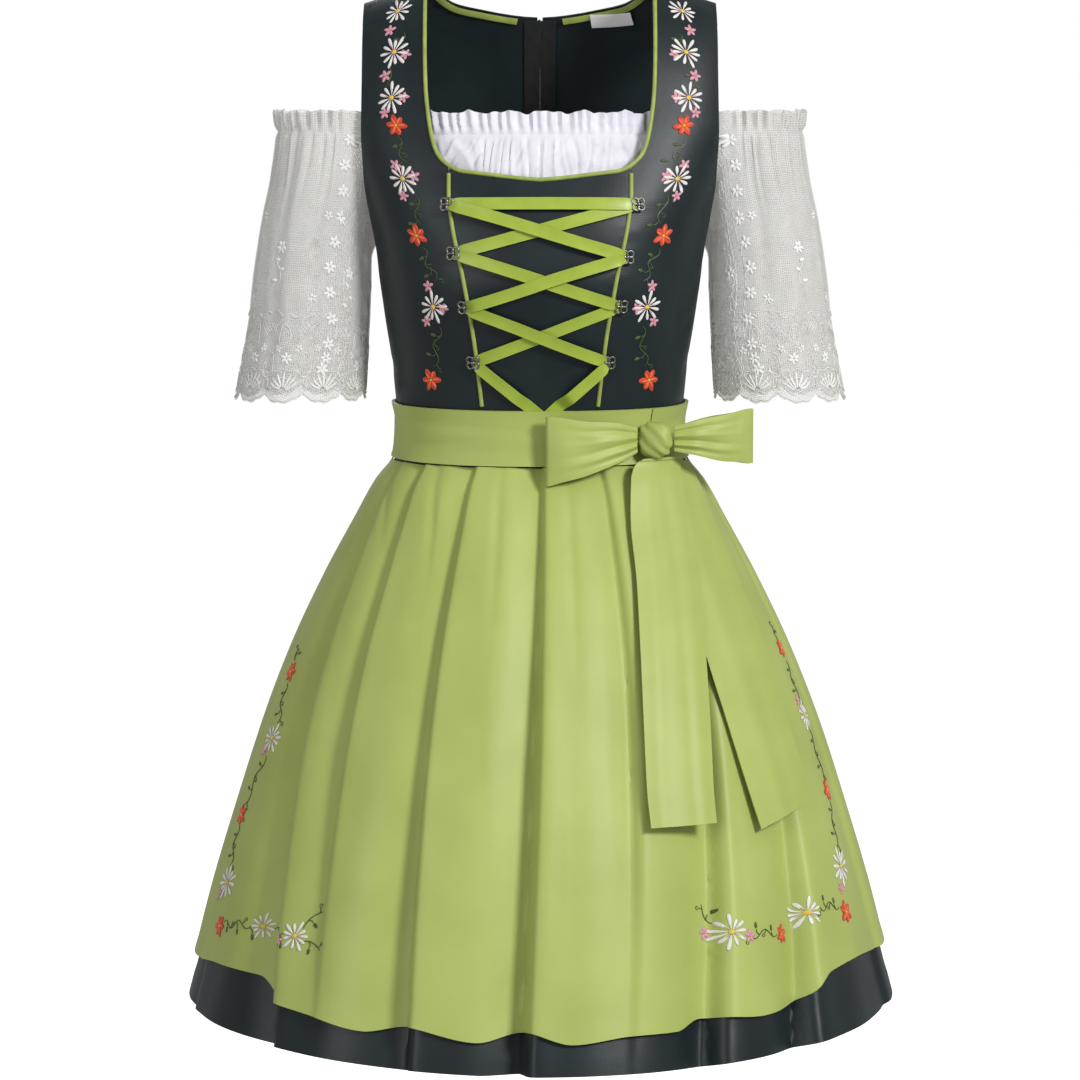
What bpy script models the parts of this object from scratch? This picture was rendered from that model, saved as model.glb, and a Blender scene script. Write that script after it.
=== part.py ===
"""A dirndl: dress with a laced bodice, tied apron and off-shoulder lace-sleeved blouse.

Metres, +Z up. The front faces -Y, and "left" is the side at -X. The origin is the point midway
between the undersides of the two shoulder straps. The set hangs from the shoulders, open inside.

Every cloth piece is a thin wall laid on one body form. A place on that form is given by an angle
round the body (0 at centre front, 90 degrees at the right side seam, 180 at centre back), by a
depth below the shoulder line, and by how far out of the form the cloth lies.
"""
import math
from collections import namedtuple

import bpy
import numpy as np
from mathutils import Matrix, Vector

# ---------------------------------------------------------------- driving sizes (metres, degrees)
CLOTH = 0.0012            # wall of the dress cloth
THIN = 0.0010             # wall of blouse, ties, ribbon and tapes
GAP = 0.0003              # left between pieces at a seam
LAYER = 0.0021            # where the first layer over the dress starts
SECOND_LAYER = 0.0038     # where the second one starts
TRIM_LIFT = 0.0009        # between the dress cloth and the trimmings sewn on it
LINING_SIDE = -0.0014     # where pieces sewn on the inside start

SHOULDER_SLOPE = 0.32     # fall of the shoulder line outwards
SHOULDER_MIDDLE = 0.120   # where that line crosses the origin's height
SLOPE_FADE = 0.16         # depth at which the slope has died out

WAIST_SEAM = 0.352        # depth of the seam between bodice and skirt
BAND_TOP = 0.3395         # apron band at the sides; it dips at the front
BAND_BOTTOM = 0.3865
BAND_DIP = 0.0025
SIDE_SEAM = 90.0
ARMHOLE_BOTTOM = 0.213
SHOULDER_END = 0.0006     # square root of the depth where front and back straps stop short

HEM_FRONT = 0.853
HEM_SIDE = 0.846
APRON_HEM_FRONT = 0.828
APRON_HEM_LEFT = 0.817
APRON_HEM_RIGHT = 0.802
APRON_REACH = 97.0        # the apron ends just behind the sides

RIBBON_WIDTH = 0.010
PIPING_WIDTH = 0.0032
BAND_END = 88.0           # the apron's band runs from side to side, and the ties start there
TIE_KNOT_ANGLE = 45.0     # where the tie ends meet, under the knot

# ---------------------------------------------------------------- tables
BodyRow = namedtuple("BodyRow", "depth half_width front back roundness")
BODY = [
    BodyRow(0.000, 0.1650, 0.0000, 0.0000, 3.0),
    BodyRow(0.004, 0.1650, 0.0140, 0.0160, 3.0),
    BodyRow(0.012, 0.1650, 0.0280, 0.0300, 3.0),
    BodyRow(0.030, 0.1650, 0.0460, 0.0480, 3.0),
    BodyRow(0.060, 0.1645, 0.0640, 0.0660, 3.0),
    BodyRow(0.100, 0.1630, 0.0800, 0.0810, 3.0),
    BodyRow(0.150, 0.1530, 0.0980, 0.0910, 2.8),
    BodyRow(0.205, 0.1382, 0.1130, 0.0940, 2.5),
    BodyRow(0.235, 0.1345, 0.1150, 0.0930, 2.4),
    BodyRow(0.272, 0.1292, 0.1080, 0.0900, 2.4),
    BodyRow(0.306, 0.1239, 0.0990, 0.0870, 2.4),
    BodyRow(0.340, 0.1205, 0.0920, 0.0855, 2.4),
    BodyRow(0.355, 0.1182, 0.0900, 0.0845, 2.4),
    BodyRow(0.375, 0.1192, 0.0905, 0.0860, 2.3),
    BodyRow(0.389, 0.1218, 0.0925, 0.0885, 2.3),
    BodyRow(0.408, 0.1360, 0.1050, 0.1030, 2.2),
    BodyRow(0.442, 0.1545, 0.1250, 0.1220, 2.1),
    BodyRow(0.493, 0.1815, 0.1530, 0.1500, 2.0),
    BodyRow(0.545, 0.2065, 0.1780, 0.1750, 2.0),
    BodyRow(0.614, 0.2340, 0.2060, 0.2030, 2.0),
    BodyRow(0.683, 0.2565, 0.2290, 0.2260, 2.0),
    BodyRow(0.753, 0.2775, 0.2500, 0.2470, 2.0),
    BodyRow(0.823, 0.2955, 0.2690, 0.2660, 2.0),
    BodyRow(0.853, 0.3035, 0.2770, 0.2740, 2.0),
]

# the inner edge of the side-front panels: neck first, then the princess seam down to the waist
EdgeRow = namedtuple("EdgeRow", "depth across")
FRONT_EDGE = [
    EdgeRow(0.000, 0.0932), EdgeRow(0.053, 0.0928), EdgeRow(0.083, 0.0918), EdgeRow(0.107, 0.0891),
    EdgeRow(0.127, 0.0848), EdgeRow(0.138, 0.0795), EdgeRow(0.1445, 0.0741), EdgeRow(0.165, 0.0740),
    EdgeRow(0.188, 0.0714), EdgeRow(0.235, 0.0618), EdgeRow(0.287, 0.0532), EdgeRow(0.352, 0.0460),
]
# the inner edge of the back panels: the scooped neck first, then straight down beside the zip
BACK_EDGE = [
    EdgeRow(0.000, 0.0932), EdgeRow(0.019, 0.0750), EdgeRow(0.035, 0.0410), EdgeRow(0.044, 0.0150),
    EdgeRow(0.0475, 0.0018), EdgeRow(0.352, 0.0018),
]
NECKLINE_CORNER = 0.0741            # half the centre panel's width at its top
NeckRow = namedtuple("NeckRow", "across depth")
NECKLINE = [NeckRow(0.000, 0.1525), NeckRow(0.0162, 0.1512), NeckRow(0.0438, 0.1480),
            NeckRow(0.0741, 0.1445)]

ArmRow = namedtuple("ArmRow", "depth front_angle back_angle")
ARMHOLE = [
    ArmRow(0.000, 53.0, 53.0), ArmRow(0.050, 53.3, 53.0), ArmRow(0.100, 54.5, 53.5),
    ArmRow(0.130, 58.5, 56.5), ArmRow(0.160, 65.5, 63.0), ArmRow(0.185, 74.0, 72.0),
    ArmRow(0.200, 81.5, 80.0), ArmRow(ARMHOLE_BOTTOM, 90.0, 90.0), ArmRow(WAIST_SEAM, 90.0, 90.0),
]

# folds run from the waist to the hem; each is soft on its left and steps up sharply on its right
FoldRow = namedtuple("FoldRow", "waist hem deep_waist deep_middle deep_hem left right")
FOLDS = [
    FoldRow(-166, -169, 0.001, 0.007, 0.013, 6.0, 4.0),
    FoldRow(-148, -147, 0.001, 0.009, 0.014, 7.0, 4.0),
    FoldRow(-126, -124, 0.001, 0.008, 0.015, 6.0, 4.0),
    FoldRow(-104, -101, 0.001, 0.006, 0.011, 5.0, 3.5),
    FoldRow(-80, -74, 0.001, 0.004, 0.007, 5.0, 3.5),
    FoldRow(-64, -47, 0.001, 0.007, 0.015, 6.0, 2.5),
    FoldRow(-48, -37, 0.003, 0.006, 0.000, 5.0, 2.0),
    FoldRow(-25.5, -21.5, 0.003, 0.009, 0.012, 7.0, 2.2),
    FoldRow(0.5, -3.2, 0.004, 0.013, 0.016, 8.0, 2.2),
    FoldRow(23, 13, 0.003, 0.006, 0.001, 6.0, 2.5),
    FoldRow(44, 27, 0.002, 0.010, 0.014, 7.0, 3.0),
    FoldRow(64, 46, 0.001, 0.006, 0.014, 6.0, 3.0),
    FoldRow(80, 71, 0.001, 0.004, 0.009, 6.0, 3.5),
    FoldRow(104, 101, 0.001, 0.006, 0.011, 5.0, 3.5),
    FoldRow(127, 123, 0.001, 0.009, 0.014, 6.0, 4.0),
    FoldRow(148, 148, 0.001, 0.008, 0.013, 6.0, 4.0),
    FoldRow(166, 170, 0.001, 0.008, 0.014, 6.0, 4.0),
]
BODICE_ROWS = [SHOULDER_END ** 2, 0.0012, 0.005, 0.013, 0.025, 0.038, 0.0475, 0.070, 0.095, 0.120, 0.138]
SEAM_ROWS = [0.1445, 0.168, 0.192, 0.213, 0.245, 0.280, 0.315, WAIST_SEAM - GAP]
SKIRT_ROWS = [0.3525, 0.370, 0.3895, 0.408, 0.442, 0.505, 0.600, 0.710]
WIDEST_STEP = 12                    # degrees between two column lines of the skirt, at its hem
APRON_FIRST_ROW = 2                 # the apron panel starts at this row, under its band

BlouseRow = namedtuple("BlouseRow", "depth half_width front back roundness")
BLOUSE = [
    BlouseRow(0.095, 0.1580, 0.0735, 0.0755, 2.4), BlouseRow(0.120, 0.1535, 0.0800, 0.0790, 2.4),
    BlouseRow(0.150, 0.1450, 0.0880, 0.0820, 2.4), BlouseRow(0.200, 0.1330, 0.1050, 0.0860, 2.4),
    BlouseRow(0.262, 0.1250, 0.1040, 0.0850, 2.4),
]
BLOUSE_TOP_FRONT = 0.0985
BLOUSE_TOP_BACK = 0.1050
BLOUSE_BOTTOM = 0.262
UNDERARM = 0.199
RAGLAN_TOP_ANGLE = 52.0             # where the raglan seams reach the neckline

SleeveRow = namedtuple("SleeveRow", "depth inner outer half_depth roundness")
SLEEVE = [
    SleeveRow(0.096, 0.1270, 0.2220, 0.0470, 2.7), SleeveRow(0.116, 0.1290, 0.2205, 0.0475, 2.7),
    SleeveRow(0.150, 0.1320, 0.2245, 0.0485, 2.6), SleeveRow(0.180, 0.1375, 0.2312, 0.0490, 2.5),
    SleeveRow(0.205, 0.1415, 0.2358, 0.0505, 2.3), SleeveRow(0.240, 0.1424, 0.2412, 0.0530, 2.2),
    SleeveRow(0.272, 0.1437, 0.2448, 0.0550, 2.1), SleeveRow(0.306, 0.1460, 0.2511, 0.0570, 2.1),
    SleeveRow(0.338, 0.1480, 0.2572, 0.0590, 2.0),
]
SLEEVE_TOP = 0.0970
SLEEVE_HEM = 0.334
SLEEVE_COLUMNS = 20
RAGLAN_SHARE = 0.36                 # of the sleeve's top edge that is sewn to the body panels

# eight clover hooks beside the princess seams, four a side, and the ribbon's route over them
HookRow = namedtuple("HookRow", "name across depth")
HOOKS = [
    HookRow("L1", -0.0745, 0.1742), HookRow("L2", -0.0690, 0.2130), HookRow("L3", -0.0600, 0.2558),
    HookRow("L4", -0.0535, 0.3012), HookRow("R1", 0.0785, 0.1742), HookRow("R2", 0.0695, 0.2160),
    HookRow("R3", 0.0645, 0.2552), HookRow("R4", 0.0550, 0.3012),
]
LaceRow = namedtuple("LaceRow", "start end level")
LACES = [
    LaceRow("tuck_left", "L4", 1), LaceRow("L4", "R3", 0), LaceRow("R3", "L2", 1),
    LaceRow("L2", "R1", 0), LaceRow("R1", "L1", 1), LaceRow("L1", "R2", 2),
    LaceRow("R2", "L3", 3), LaceRow("L3", "R4", 2), LaceRow("R4", "tuck_right", 3),
]
LACE_TUCKS = {"tuck_left": (-0.0040, 0.3370), "tuck_right": (0.0105, 0.3370)}
HOOK_RADIUS = 0.0042
HOOK_WIRE = 0.0011
HOOK_LIFT = 0.0013                  # the hooks stand on the princess piping

# bow: stations out from the knot, with upper and lower edge, and how far the loop stands open
LoopRow = namedtuple("LoopRow", "across top bottom front_y back_y")
LOOP_LEFT = [
    LoopRow(0.0800, -0.3560, -0.3770, -0.0905, -0.0870),
    LoopRow(0.0640, -0.3520, -0.3850, -0.1010, -0.0940),
    LoopRow(0.0420, -0.3495, -0.3925, -0.1090, -0.1005),
    LoopRow(0.0200, -0.3475, -0.3995, -0.1120, -0.1030),
    LoopRow(0.0065, -0.3470, -0.4040, -0.1105, -0.1050),
]
LOOP_RIGHT = [
    LoopRow(0.1105, -0.3555, -0.3760, -0.0860, -0.0825),
    LoopRow(0.1250, -0.3520, -0.3790, -0.0860, -0.0775),
    LoopRow(0.1450, -0.3475, -0.3835, -0.0790, -0.0700),
    LoopRow(0.1630, -0.3445, -0.3865, -0.0700, -0.0610),
    LoopRow(0.1750, -0.3435, -0.3890, -0.0630, -0.0580),
]
KNOT_CENTRE = (0.0945, -0.0870, -0.3665)
KNOT_SIZE = (0.0290, 0.0180, 0.0300)

TailRow = namedtuple("TailRow", "depth left right out")
TAIL_FRONT = [
    TailRow(0.3860, 0.0760, 0.1040, 0.0190), TailRow(0.4080, 0.0700, 0.1090, 0.0135),
    TailRow(0.4350, 0.0705, 0.1170, 0.0105), TailRow(0.4800, 0.0745, 0.1235, 0.0095),
    TailRow(0.5400, 0.0770, 0.1275, 0.0095), TailRow(0.6000, 0.0795, 0.1310, 0.0095),
    TailRow(0.6400, 0.0812, 0.1325, 0.0100), TailRow(0.6690, 0.0840, 0.1345, 0.0105),
]
TAIL_BACK = [
    TailRow(0.3900, 0.0880, 0.1080, 0.0130), TailRow(0.4080, 0.0920, 0.1240, 0.0095),
    TailRow(0.4350, 0.0990, 0.1370, 0.0070), TailRow(0.4800, 0.1120, 0.1560, 0.0062),
    TailRow(0.5400, 0.1290, 0.1780, 0.0062), TailRow(0.6000, 0.1480, 0.1965, 0.0062),
    TailRow(0.6400, 0.1600, 0.2075, 0.0070), TailRow(0.6780, 0.1715, 0.2140, 0.0080),
]
TAIL_SLANT = 0.014                  # the back tail's end rises towards its outer corner

ZIP_TAPE_INNER = 0.0016
ZIP_TAPE_OUTER = 0.0135
ZIP_CHAIN_HALF = 0.0013
ZIP_CHAIN_THICK = 0.0012
SLIDER_DEPTH = 0.0640
SLIDER_HALF = (0.0036, 0.0052)      # half width, half length
SLIDER_THICK = 0.0016
SLIDER_BAR = 0.0005                 # half the thickness of the bridge and of the pull's axle
BRIDGE_HALF_WIDTH = 0.0009
BRIDGE_SETBACK = 0.0014             # of its posts from the slider's ends
AXLE_RISE = 0.0013                  # of the pull's axle over the slider's back
BLOCK_OVERLAP = 0.0002              # blocks reach into each other, so that they join
PULL_LENGTH = 0.024
PULL_HALF_WIDTH = 0.0028
PULL_EYE_HALF = 0.0016
PULL_EYE_LENGTH = 0.0080
PULL_THICK = 0.0011
ARM_SHARE = 0.98                    # the pull's arms are a hair thinner than its axle
BRIDGE_RISE = 0.0030
LABEL_HEIGHT = 0.012
LabelRow = namedtuple("LabelRow", "across depth")
LABEL = [LabelRow(0.0440, 0.0430), LabelRow(0.0560, 0.0400),
         LabelRow(0.0680, 0.0365), LabelRow(0.0790, 0.0325)]

# ---------------------------------------------------------------- materials
MaterialRow = namedtuple("MaterialRow", "colour roughness metallic")
MATERIALS = {
    "dress_satin": MaterialRow((0.021, 0.036, 0.038), 0.55, 0.0),
    "apron_satin": MaterialRow((0.415, 0.510, 0.155), 0.50, 0.0),
    "piping_green": MaterialRow((0.400, 0.480, 0.130), 0.55, 0.0),
    "lace_ribbon": MaterialRow((0.430, 0.560, 0.075), 0.35, 0.0),
    "blouse_cotton": MaterialRow((0.860, 0.855, 0.900), 0.80, 0.0),
    "sleeve_lace": MaterialRow((0.850, 0.845, 0.815), 0.85, 0.0),
    "hook_metal": MaterialRow((0.180, 0.175, 0.165), 0.35, 1.0),
    "zip_tape": MaterialRow((0.010, 0.010, 0.010), 0.70, 0.0),
    "zip_metal": MaterialRow((0.030, 0.030, 0.032), 0.40, 0.8),
    "label_satin": MaterialRow((0.850, 0.850, 0.850), 0.45, 0.0),
}


def clear_scene():
    for thing in list(bpy.data.objects):
        bpy.data.objects.remove(thing, do_unlink=True)


def make_material(name):
    row = MATERIALS[name]
    material = bpy.data.materials.new(name)
    material.use_nodes = True
    shader = material.node_tree.nodes["Principled BSDF"]
    shader.inputs["Base Color"].default_value = (*row.colour, 1.0)
    shader.inputs["Roughness"].default_value = row.roughness
    shader.inputs["Metallic"].default_value = row.metallic
    return material


# ---------------------------------------------------------------- curves and the body form
def curve(stations, values):
    """A smooth curve through the stations that doesn't overshoot between them."""
    stations = np.asarray(stations, float)
    values = np.asarray(values, float)
    step = np.diff(stations)
    slope = np.diff(values) / step
    product = slope[:-1] * slope[1:]
    total = np.where(product > 0, slope[:-1] + slope[1:], 1.0)
    middle = np.where(product > 0, 2 * product / total, 0.0)
    tangent = np.concatenate(([slope[0]], middle, [slope[-1]]))

    def at(place):
        place = np.clip(np.asarray(place, float), stations[0], stations[-1])
        i = np.clip(np.searchsorted(stations, place, side="right") - 1, 0, len(step) - 1)
        t = (place - stations[i]) / step[i]
        rise = values[i] * (1 + 2 * t) * (1 - t) ** 2 + values[i + 1] * t * t * (3 - 2 * t)
        lean = tangent[i] * t * (1 - t) ** 2 - tangent[i + 1] * t * t * (1 - t)
        return rise + step[i] * lean

    return at


def column_curves(rows, root=False):
    """One curve for each column of a table, read by its first column (or by that one's root)."""
    stations = np.array([row[0] for row in rows])
    if root:
        stations = np.sqrt(stations)
    return [curve(stations, [row[k] for row in rows]) for k in range(1, len(rows[0]))]


def fade(share):
    share = np.clip(share, 0.0, 1.0)
    return share * share * (3 - 2 * share)


BODY_CURVES = column_curves(BODY, root=True)


def ring_point(angle, half_width, front, back, roundness):
    """A point on a rounded oval, with its own depth in front and behind."""
    sine, cosine = np.sin(angle), np.cos(angle)
    size = (np.abs(sine) ** roundness + np.abs(cosine) ** roundness) ** (-1 / roundness)
    reach = np.where(cosine > 0, front, back)
    return half_width * size * sine, -reach * size * cosine


def body_point(angle, root_depth):
    root_depth = np.abs(root_depth)
    x, y = ring_point(angle, *(read(root_depth) for read in BODY_CURVES))
    depth = root_depth ** 2
    slope = SHOULDER_SLOPE * (SHOULDER_MIDDLE - np.abs(x)) * (1 - fade(depth / SLOPE_FADE))
    return np.stack([x, y, slope - depth], axis=-1)


def unit(vectors):
    return vectors / np.linalg.norm(vectors, axis=-1, keepdims=True)


def body_normal(angle, root_depth):
    small = 1e-4
    down = body_point(angle, root_depth + small) - body_point(angle, np.maximum(root_depth - small, 0))
    round_body = body_point(angle + small, root_depth) - body_point(angle - small, root_depth)
    return unit(np.cross(down, round_body))


def fold_depth(angle, depth):
    """How far the skirt's folds draw the cloth in."""
    share = np.clip((depth - BAND_BOTTOM) / (HEM_FRONT - BAND_BOTTOM), 0.0, 1.0)
    degrees = np.degrees(angle)
    total = np.zeros(np.broadcast(angle, depth).shape)
    for fold in FOLDS:
        away = degrees - (fold.waist + (fold.hem - fold.waist) * share)
        away = (away + 180) % 360 - 180
        width = np.where(away < 0, fold.left, fold.right)
        deep = np.interp(share, (0, 0.5, 1), (fold.deep_waist, fold.deep_middle, fold.deep_hem))
        total = total + deep * np.exp(-(away / width) ** 2)
    return total * fade((depth - WAIST_SEAM) / (BAND_BOTTOM - WAIST_SEAM))


def place(angle, depth, out, folded=True):
    """Where cloth lies: angle in radians, depth below the shoulder line, distance out."""
    root_depth = np.sqrt(depth)
    drawn_in = fold_depth(angle, depth) if folded else 0.0
    lift = np.asarray(out - drawn_in)[..., None]
    return body_point(angle, root_depth) + body_normal(angle, root_depth) * lift


def angle_at(across, depth, behind=False):
    """The angle at which the form has this distance from the middle plane."""
    half_width, _, _, roundness = (read(np.sqrt(depth)) for read in BODY_CURVES)
    share = np.clip(np.abs(across) / half_width, 0.0, 1.0)
    other = np.maximum(1 - share ** roundness, 0.0) ** (1 / roundness)
    angle = np.arctan2(share, -other if behind else other)
    return np.sign(across) * angle


# ---------------------------------------------------------------- making solids
def signed_volume(points, faces):
    points = np.asarray(points, float)
    total = 0.0
    for face in faces:
        first = points[face[0]]
        for i in range(1, len(face) - 1):
            total += np.dot(first, np.cross(points[face[i]], points[face[i + 1]]))
    return total / 6


def add_object(name, points, faces, material_name):
    """A mesh object whose faces all point out of it."""
    if signed_volume(points, faces) < 0:
        faces = [face[::-1] for face in faces]
    mesh = bpy.data.meshes.new(name)
    mesh.from_pydata([tuple(map(float, point)) for point in points], [], faces)
    mesh.materials.append(MATERIAL[material_name])
    mesh.validate()
    thing = bpy.data.objects.new(name, mesh)
    bpy.context.collection.objects.link(thing)
    return thing


def wall(name, inner, outer, material_name, closed=False):
    """The closed solid between two grids of points, each rows by columns."""
    rows, columns, _ = inner.shape
    count = rows * columns
    points = np.concatenate([inner.reshape(-1, 3), outer.reshape(-1, 3)])
    faces = []

    def at(row, column, layer):
        return layer * count + row * columns + column % columns

    spans = columns if closed else columns - 1
    for row in range(rows - 1):
        for column in range(spans):
            corners = ((row, column), (row + 1, column), (row + 1, column + 1), (row, column + 1))
            faces.append([at(r, c, 1) for r, c in corners])
            faces.append([at(r, c, 0) for r, c in reversed(corners)])
    for column in range(spans):
        faces.append([at(0, column, 0), at(0, column, 1), at(0, column + 1, 1), at(0, column + 1, 0)])
        last = rows - 1
        faces.append([at(last, column, 1), at(last, column, 0),
                      at(last, column + 1, 0), at(last, column + 1, 1)])
    if not closed:
        for row in range(rows - 1):
            faces.append([at(row, 0, 0), at(row + 1, 0, 0), at(row + 1, 0, 1), at(row, 0, 1)])
            end = columns - 1
            faces.append([at(row, end, 1), at(row + 1, end, 1), at(row + 1, end, 0), at(row, end, 0)])
    return add_object(name, points, faces, material_name)


def body_wall(name, angle, depth, start, thick, material_name, folded=True):
    inner = place(angle, depth, start, folded)
    outer = place(angle, depth, start + thick, folded)
    return wall(name, inner, outer, material_name)


def strip(name, angle, depth, width, start, thick, material_name):
    """A flat band that follows a line on the form."""
    middle = place(angle, depth, start)
    normal = body_normal(angle, np.sqrt(depth))
    along = unit(np.gradient(middle, axis=0))
    side = unit(np.cross(along, normal)) * width / 2
    inner = np.stack([middle - side, middle + side], axis=1)
    outer = inner + normal[:, None, :] * thick
    return wall(name, inner, outer, material_name)


def share_grid(first, last, count):
    """Columns evenly spaced between two edges that change from row to row."""
    share = np.linspace(0.0, 1.0, count)
    return first[:, None] * (1 - share) + last[:, None] * share


def mirrored(angle, side):
    """Turns a grid made for the right side into the same piece on the given side."""
    return angle if side > 0 else -angle[:, ::-1]


SIDES = {"left": -1, "right": 1}
SEAM_ANGLE = math.radians(0.06)     # half a seam's gap, seen from the middle


# ---------------------------------------------------------------- bodice
def bodice_front_centre():
    columns = 9
    edge = curve(*zip(*FRONT_EDGE))
    top = curve(*zip(*NECKLINE))
    share = np.linspace(-1.0, 1.0, columns)
    highest, lowest = SEAM_ROWS[0], SEAM_ROWS[-1]
    down = (np.array(SEAM_ROWS)[:, None] - highest) / (lowest - highest)
    upper = top(np.abs(share) * NECKLINE_CORNER)
    depth = upper + down * (lowest - upper)
    across = share * (edge(depth) - GAP / 2)
    body_wall("bodice_front_centre", angle_at(across, depth), depth, 0.0, CLOTH, "dress_satin")


def bodice_side_panels():
    """Four panels, each in one piece with its half of a shoulder strap."""
    depth = np.array(BODICE_ROWS + SEAM_ROWS)
    arm_front, arm_back = column_curves(ARMHOLE)
    for behind, edge_rows, arm, columns in ((False, FRONT_EDGE, arm_front, 6),
                                            (True, BACK_EDGE, arm_back, 7)):
        inner_edge = angle_at(curve(*zip(*edge_rows))(depth) + GAP / 2, depth, behind)
        arm_edge = np.radians(arm(depth))
        if behind:
            angle = share_grid(math.pi - arm_edge + SEAM_ANGLE, inner_edge, columns)
        else:
            angle = share_grid(inner_edge, arm_edge - SEAM_ANGLE, columns)
        for word, side in SIDES.items():
            name = f"bodice_{'back' if behind else 'front'}_{word}"
            grid = mirrored(angle, side)
            body_wall(name, grid, np.broadcast_to(depth[:, None], grid.shape), 0.0, CLOTH, "dress_satin")


def neck_piping():
    """Green piping on the outside of the front neck edge, and of the back one."""
    inset = PIPING_WIDTH / 2
    edge, top = curve(*zip(*FRONT_EDGE)), curve(*zip(*NECKLINE))
    strap = np.array(BODICE_ROWS[1:] + [0.1420])
    level = np.array([0.068, 0.0556, 0.0371, 0.0185, 0.0060])
    across = np.concatenate([edge(strap) + inset, level])
    depth = np.concatenate([strap, top(level) + inset])
    depth[len(strap) - 1] += 0.001
    across = np.concatenate([-across, across[::-1]])
    depth = np.concatenate([depth, depth[::-1]])
    strip("neck_piping_front", angle_at(across, depth), depth, PIPING_WIDTH,
          CLOTH + TRIM_LIFT, THIN, "piping_green")

    edge = curve(*zip(*BACK_EDGE))
    depth = np.array(BODICE_ROWS[1:6] + [0.044, 0.0465])
    for word, side in SIDES.items():
        across = side * np.maximum(edge(depth), 0.0030)
        angle = angle_at(across, depth + inset, behind=True)
        strip(f"neck_piping_back_{word}", angle, depth + inset, PIPING_WIDTH, CLOTH + TRIM_LIFT, THIN,
              "piping_green")


def neck_facing_back():
    """The overlocked green edge that shows inside the back neck."""
    inset = 0.0028
    edge = curve(*zip(*BACK_EDGE))
    depth = np.array(BODICE_ROWS[2:6] + [0.0425])
    for word, side in SIDES.items():
        angle = angle_at(side * edge(depth), depth + inset, behind=True)
        strip(f"neck_facing_back_{word}", angle, depth + inset, 0.0050, LINING_SIDE - THIN, THIN,
              "piping_green")


def princess_piping():
    edge = curve(*zip(*FRONT_EDGE))
    depth = np.array([0.1490] + SEAM_ROWS[1:-1] + [BAND_TOP - 0.001])
    for word, side in SIDES.items():
        strip(f"seam_piping_{word}", angle_at(side * edge(depth), depth), depth, 0.0028,
              CLOTH + TRIM_LIFT, THIN, "piping_green")


# ---------------------------------------------------------------- lacing
def hooks():
    """Each clover hook is a flat wire ring here; its wire is four-sided."""
    around, wire = 10, 4
    for row in HOOKS:
        angle, depth = angle_at(row.across, row.depth), np.float64(row.depth)
        middle = place(angle, depth, CLOTH + TRIM_LIFT + HOOK_LIFT + HOOK_WIRE)
        normal = body_normal(angle, np.sqrt(depth))
        side = unit(np.cross((0.0, 0.0, 1.0), normal))
        up = np.cross(normal, side)
        points, faces = [], []
        for i in range(around):
            turn = 2 * math.pi * i / around
            radial = math.cos(turn) * side + math.sin(turn) * up
            for k in range(wire):
                lean = 2 * math.pi * (k + 0.5) / wire
                points.append(middle + radial * (HOOK_RADIUS + HOOK_WIRE * math.cos(lean))
                              + normal * HOOK_WIRE * math.sin(lean))
        for i in range(around):
            for k in range(wire):
                j, m = (i + 1) % around, (k + 1) % wire
                faces.append([i * wire + k, j * wire + k, j * wire + m, i * wire + m])
        add_object(f"lace_hook_{row.name}", points, faces, "hook_metal")


def laces():
    """The ribbon's nine stretches. Each stops just short of the hook ring at its ends."""
    stations = {row.name: (row.across, row.depth) for row in HOOKS} | LACE_TUCKS
    clear = HOOK_RADIUS + HOOK_WIRE + 0.0016
    for number, row in enumerate(LACES, 1):
        start, end = np.array(stations[row.start]), np.array(stations[row.end])
        run = end - start
        length = np.linalg.norm(run)
        first = 0.0 if row.start in LACE_TUCKS else clear / length
        last = 1.0 if row.end in LACE_TUCKS else 1 - clear / length
        line = start + np.linspace(first, last, 7)[:, None] * run
        out = CLOTH + TRIM_LIFT + THIN + GAP + row.level * (THIN + 2 * GAP)
        strip(f"lace_ribbon_{number}", angle_at(line[:, 0], line[:, 1]), line[:, 1], RIBBON_WIDTH,
              out, THIN, "lace_ribbon")


# ---------------------------------------------------------------- skirt and apron
def fold_lines(low, high):
    """Column lines that run down the folds between two seams, as angles at waist and hem."""
    inside = [fold for fold in FOLDS if low < fold.waist < high]
    lines = [(low, low)]
    for fold in inside:
        for shift in (-0.7 * fold.left, 0.0, fold.right):
            lines.append((fold.waist + shift, fold.hem + shift))
    lines.append((high, high))
    full = []
    for (waist, hem), (next_waist, next_hem) in zip(lines, lines[1:]):
        full.append((waist, hem))
        if next_hem - hem > WIDEST_STEP:
            full.append(((waist + next_waist) / 2, (hem + next_hem) / 2))
    full.append(lines[-1])
    return np.radians(np.array(full))


def hem_depth(angle):
    return HEM_FRONT + (HEM_SIDE - HEM_FRONT) * np.sin(angle) ** 2


def apron_hem_depth(angle):
    side = np.where(angle < 0, APRON_HEM_LEFT, APRON_HEM_RIGHT)
    return APRON_HEM_FRONT + (side - APRON_HEM_FRONT) * np.sin(angle) ** 2


def skirt_grid(lines, rows, hem):
    """Angles and depths for a skirt piece: the fixed rows, then its own hem."""
    hem_angles = lines[:, 1]
    depth = np.vstack([np.full((1, len(lines)), row) for row in rows] + [hem(hem_angles)[None, :]])
    share = np.clip((depth - BAND_BOTTOM) / (HEM_FRONT - BAND_BOTTOM), 0, 1)
    angle = lines[:, 0] + (lines[:, 1] - lines[:, 0]) * share
    return angle, depth


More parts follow.
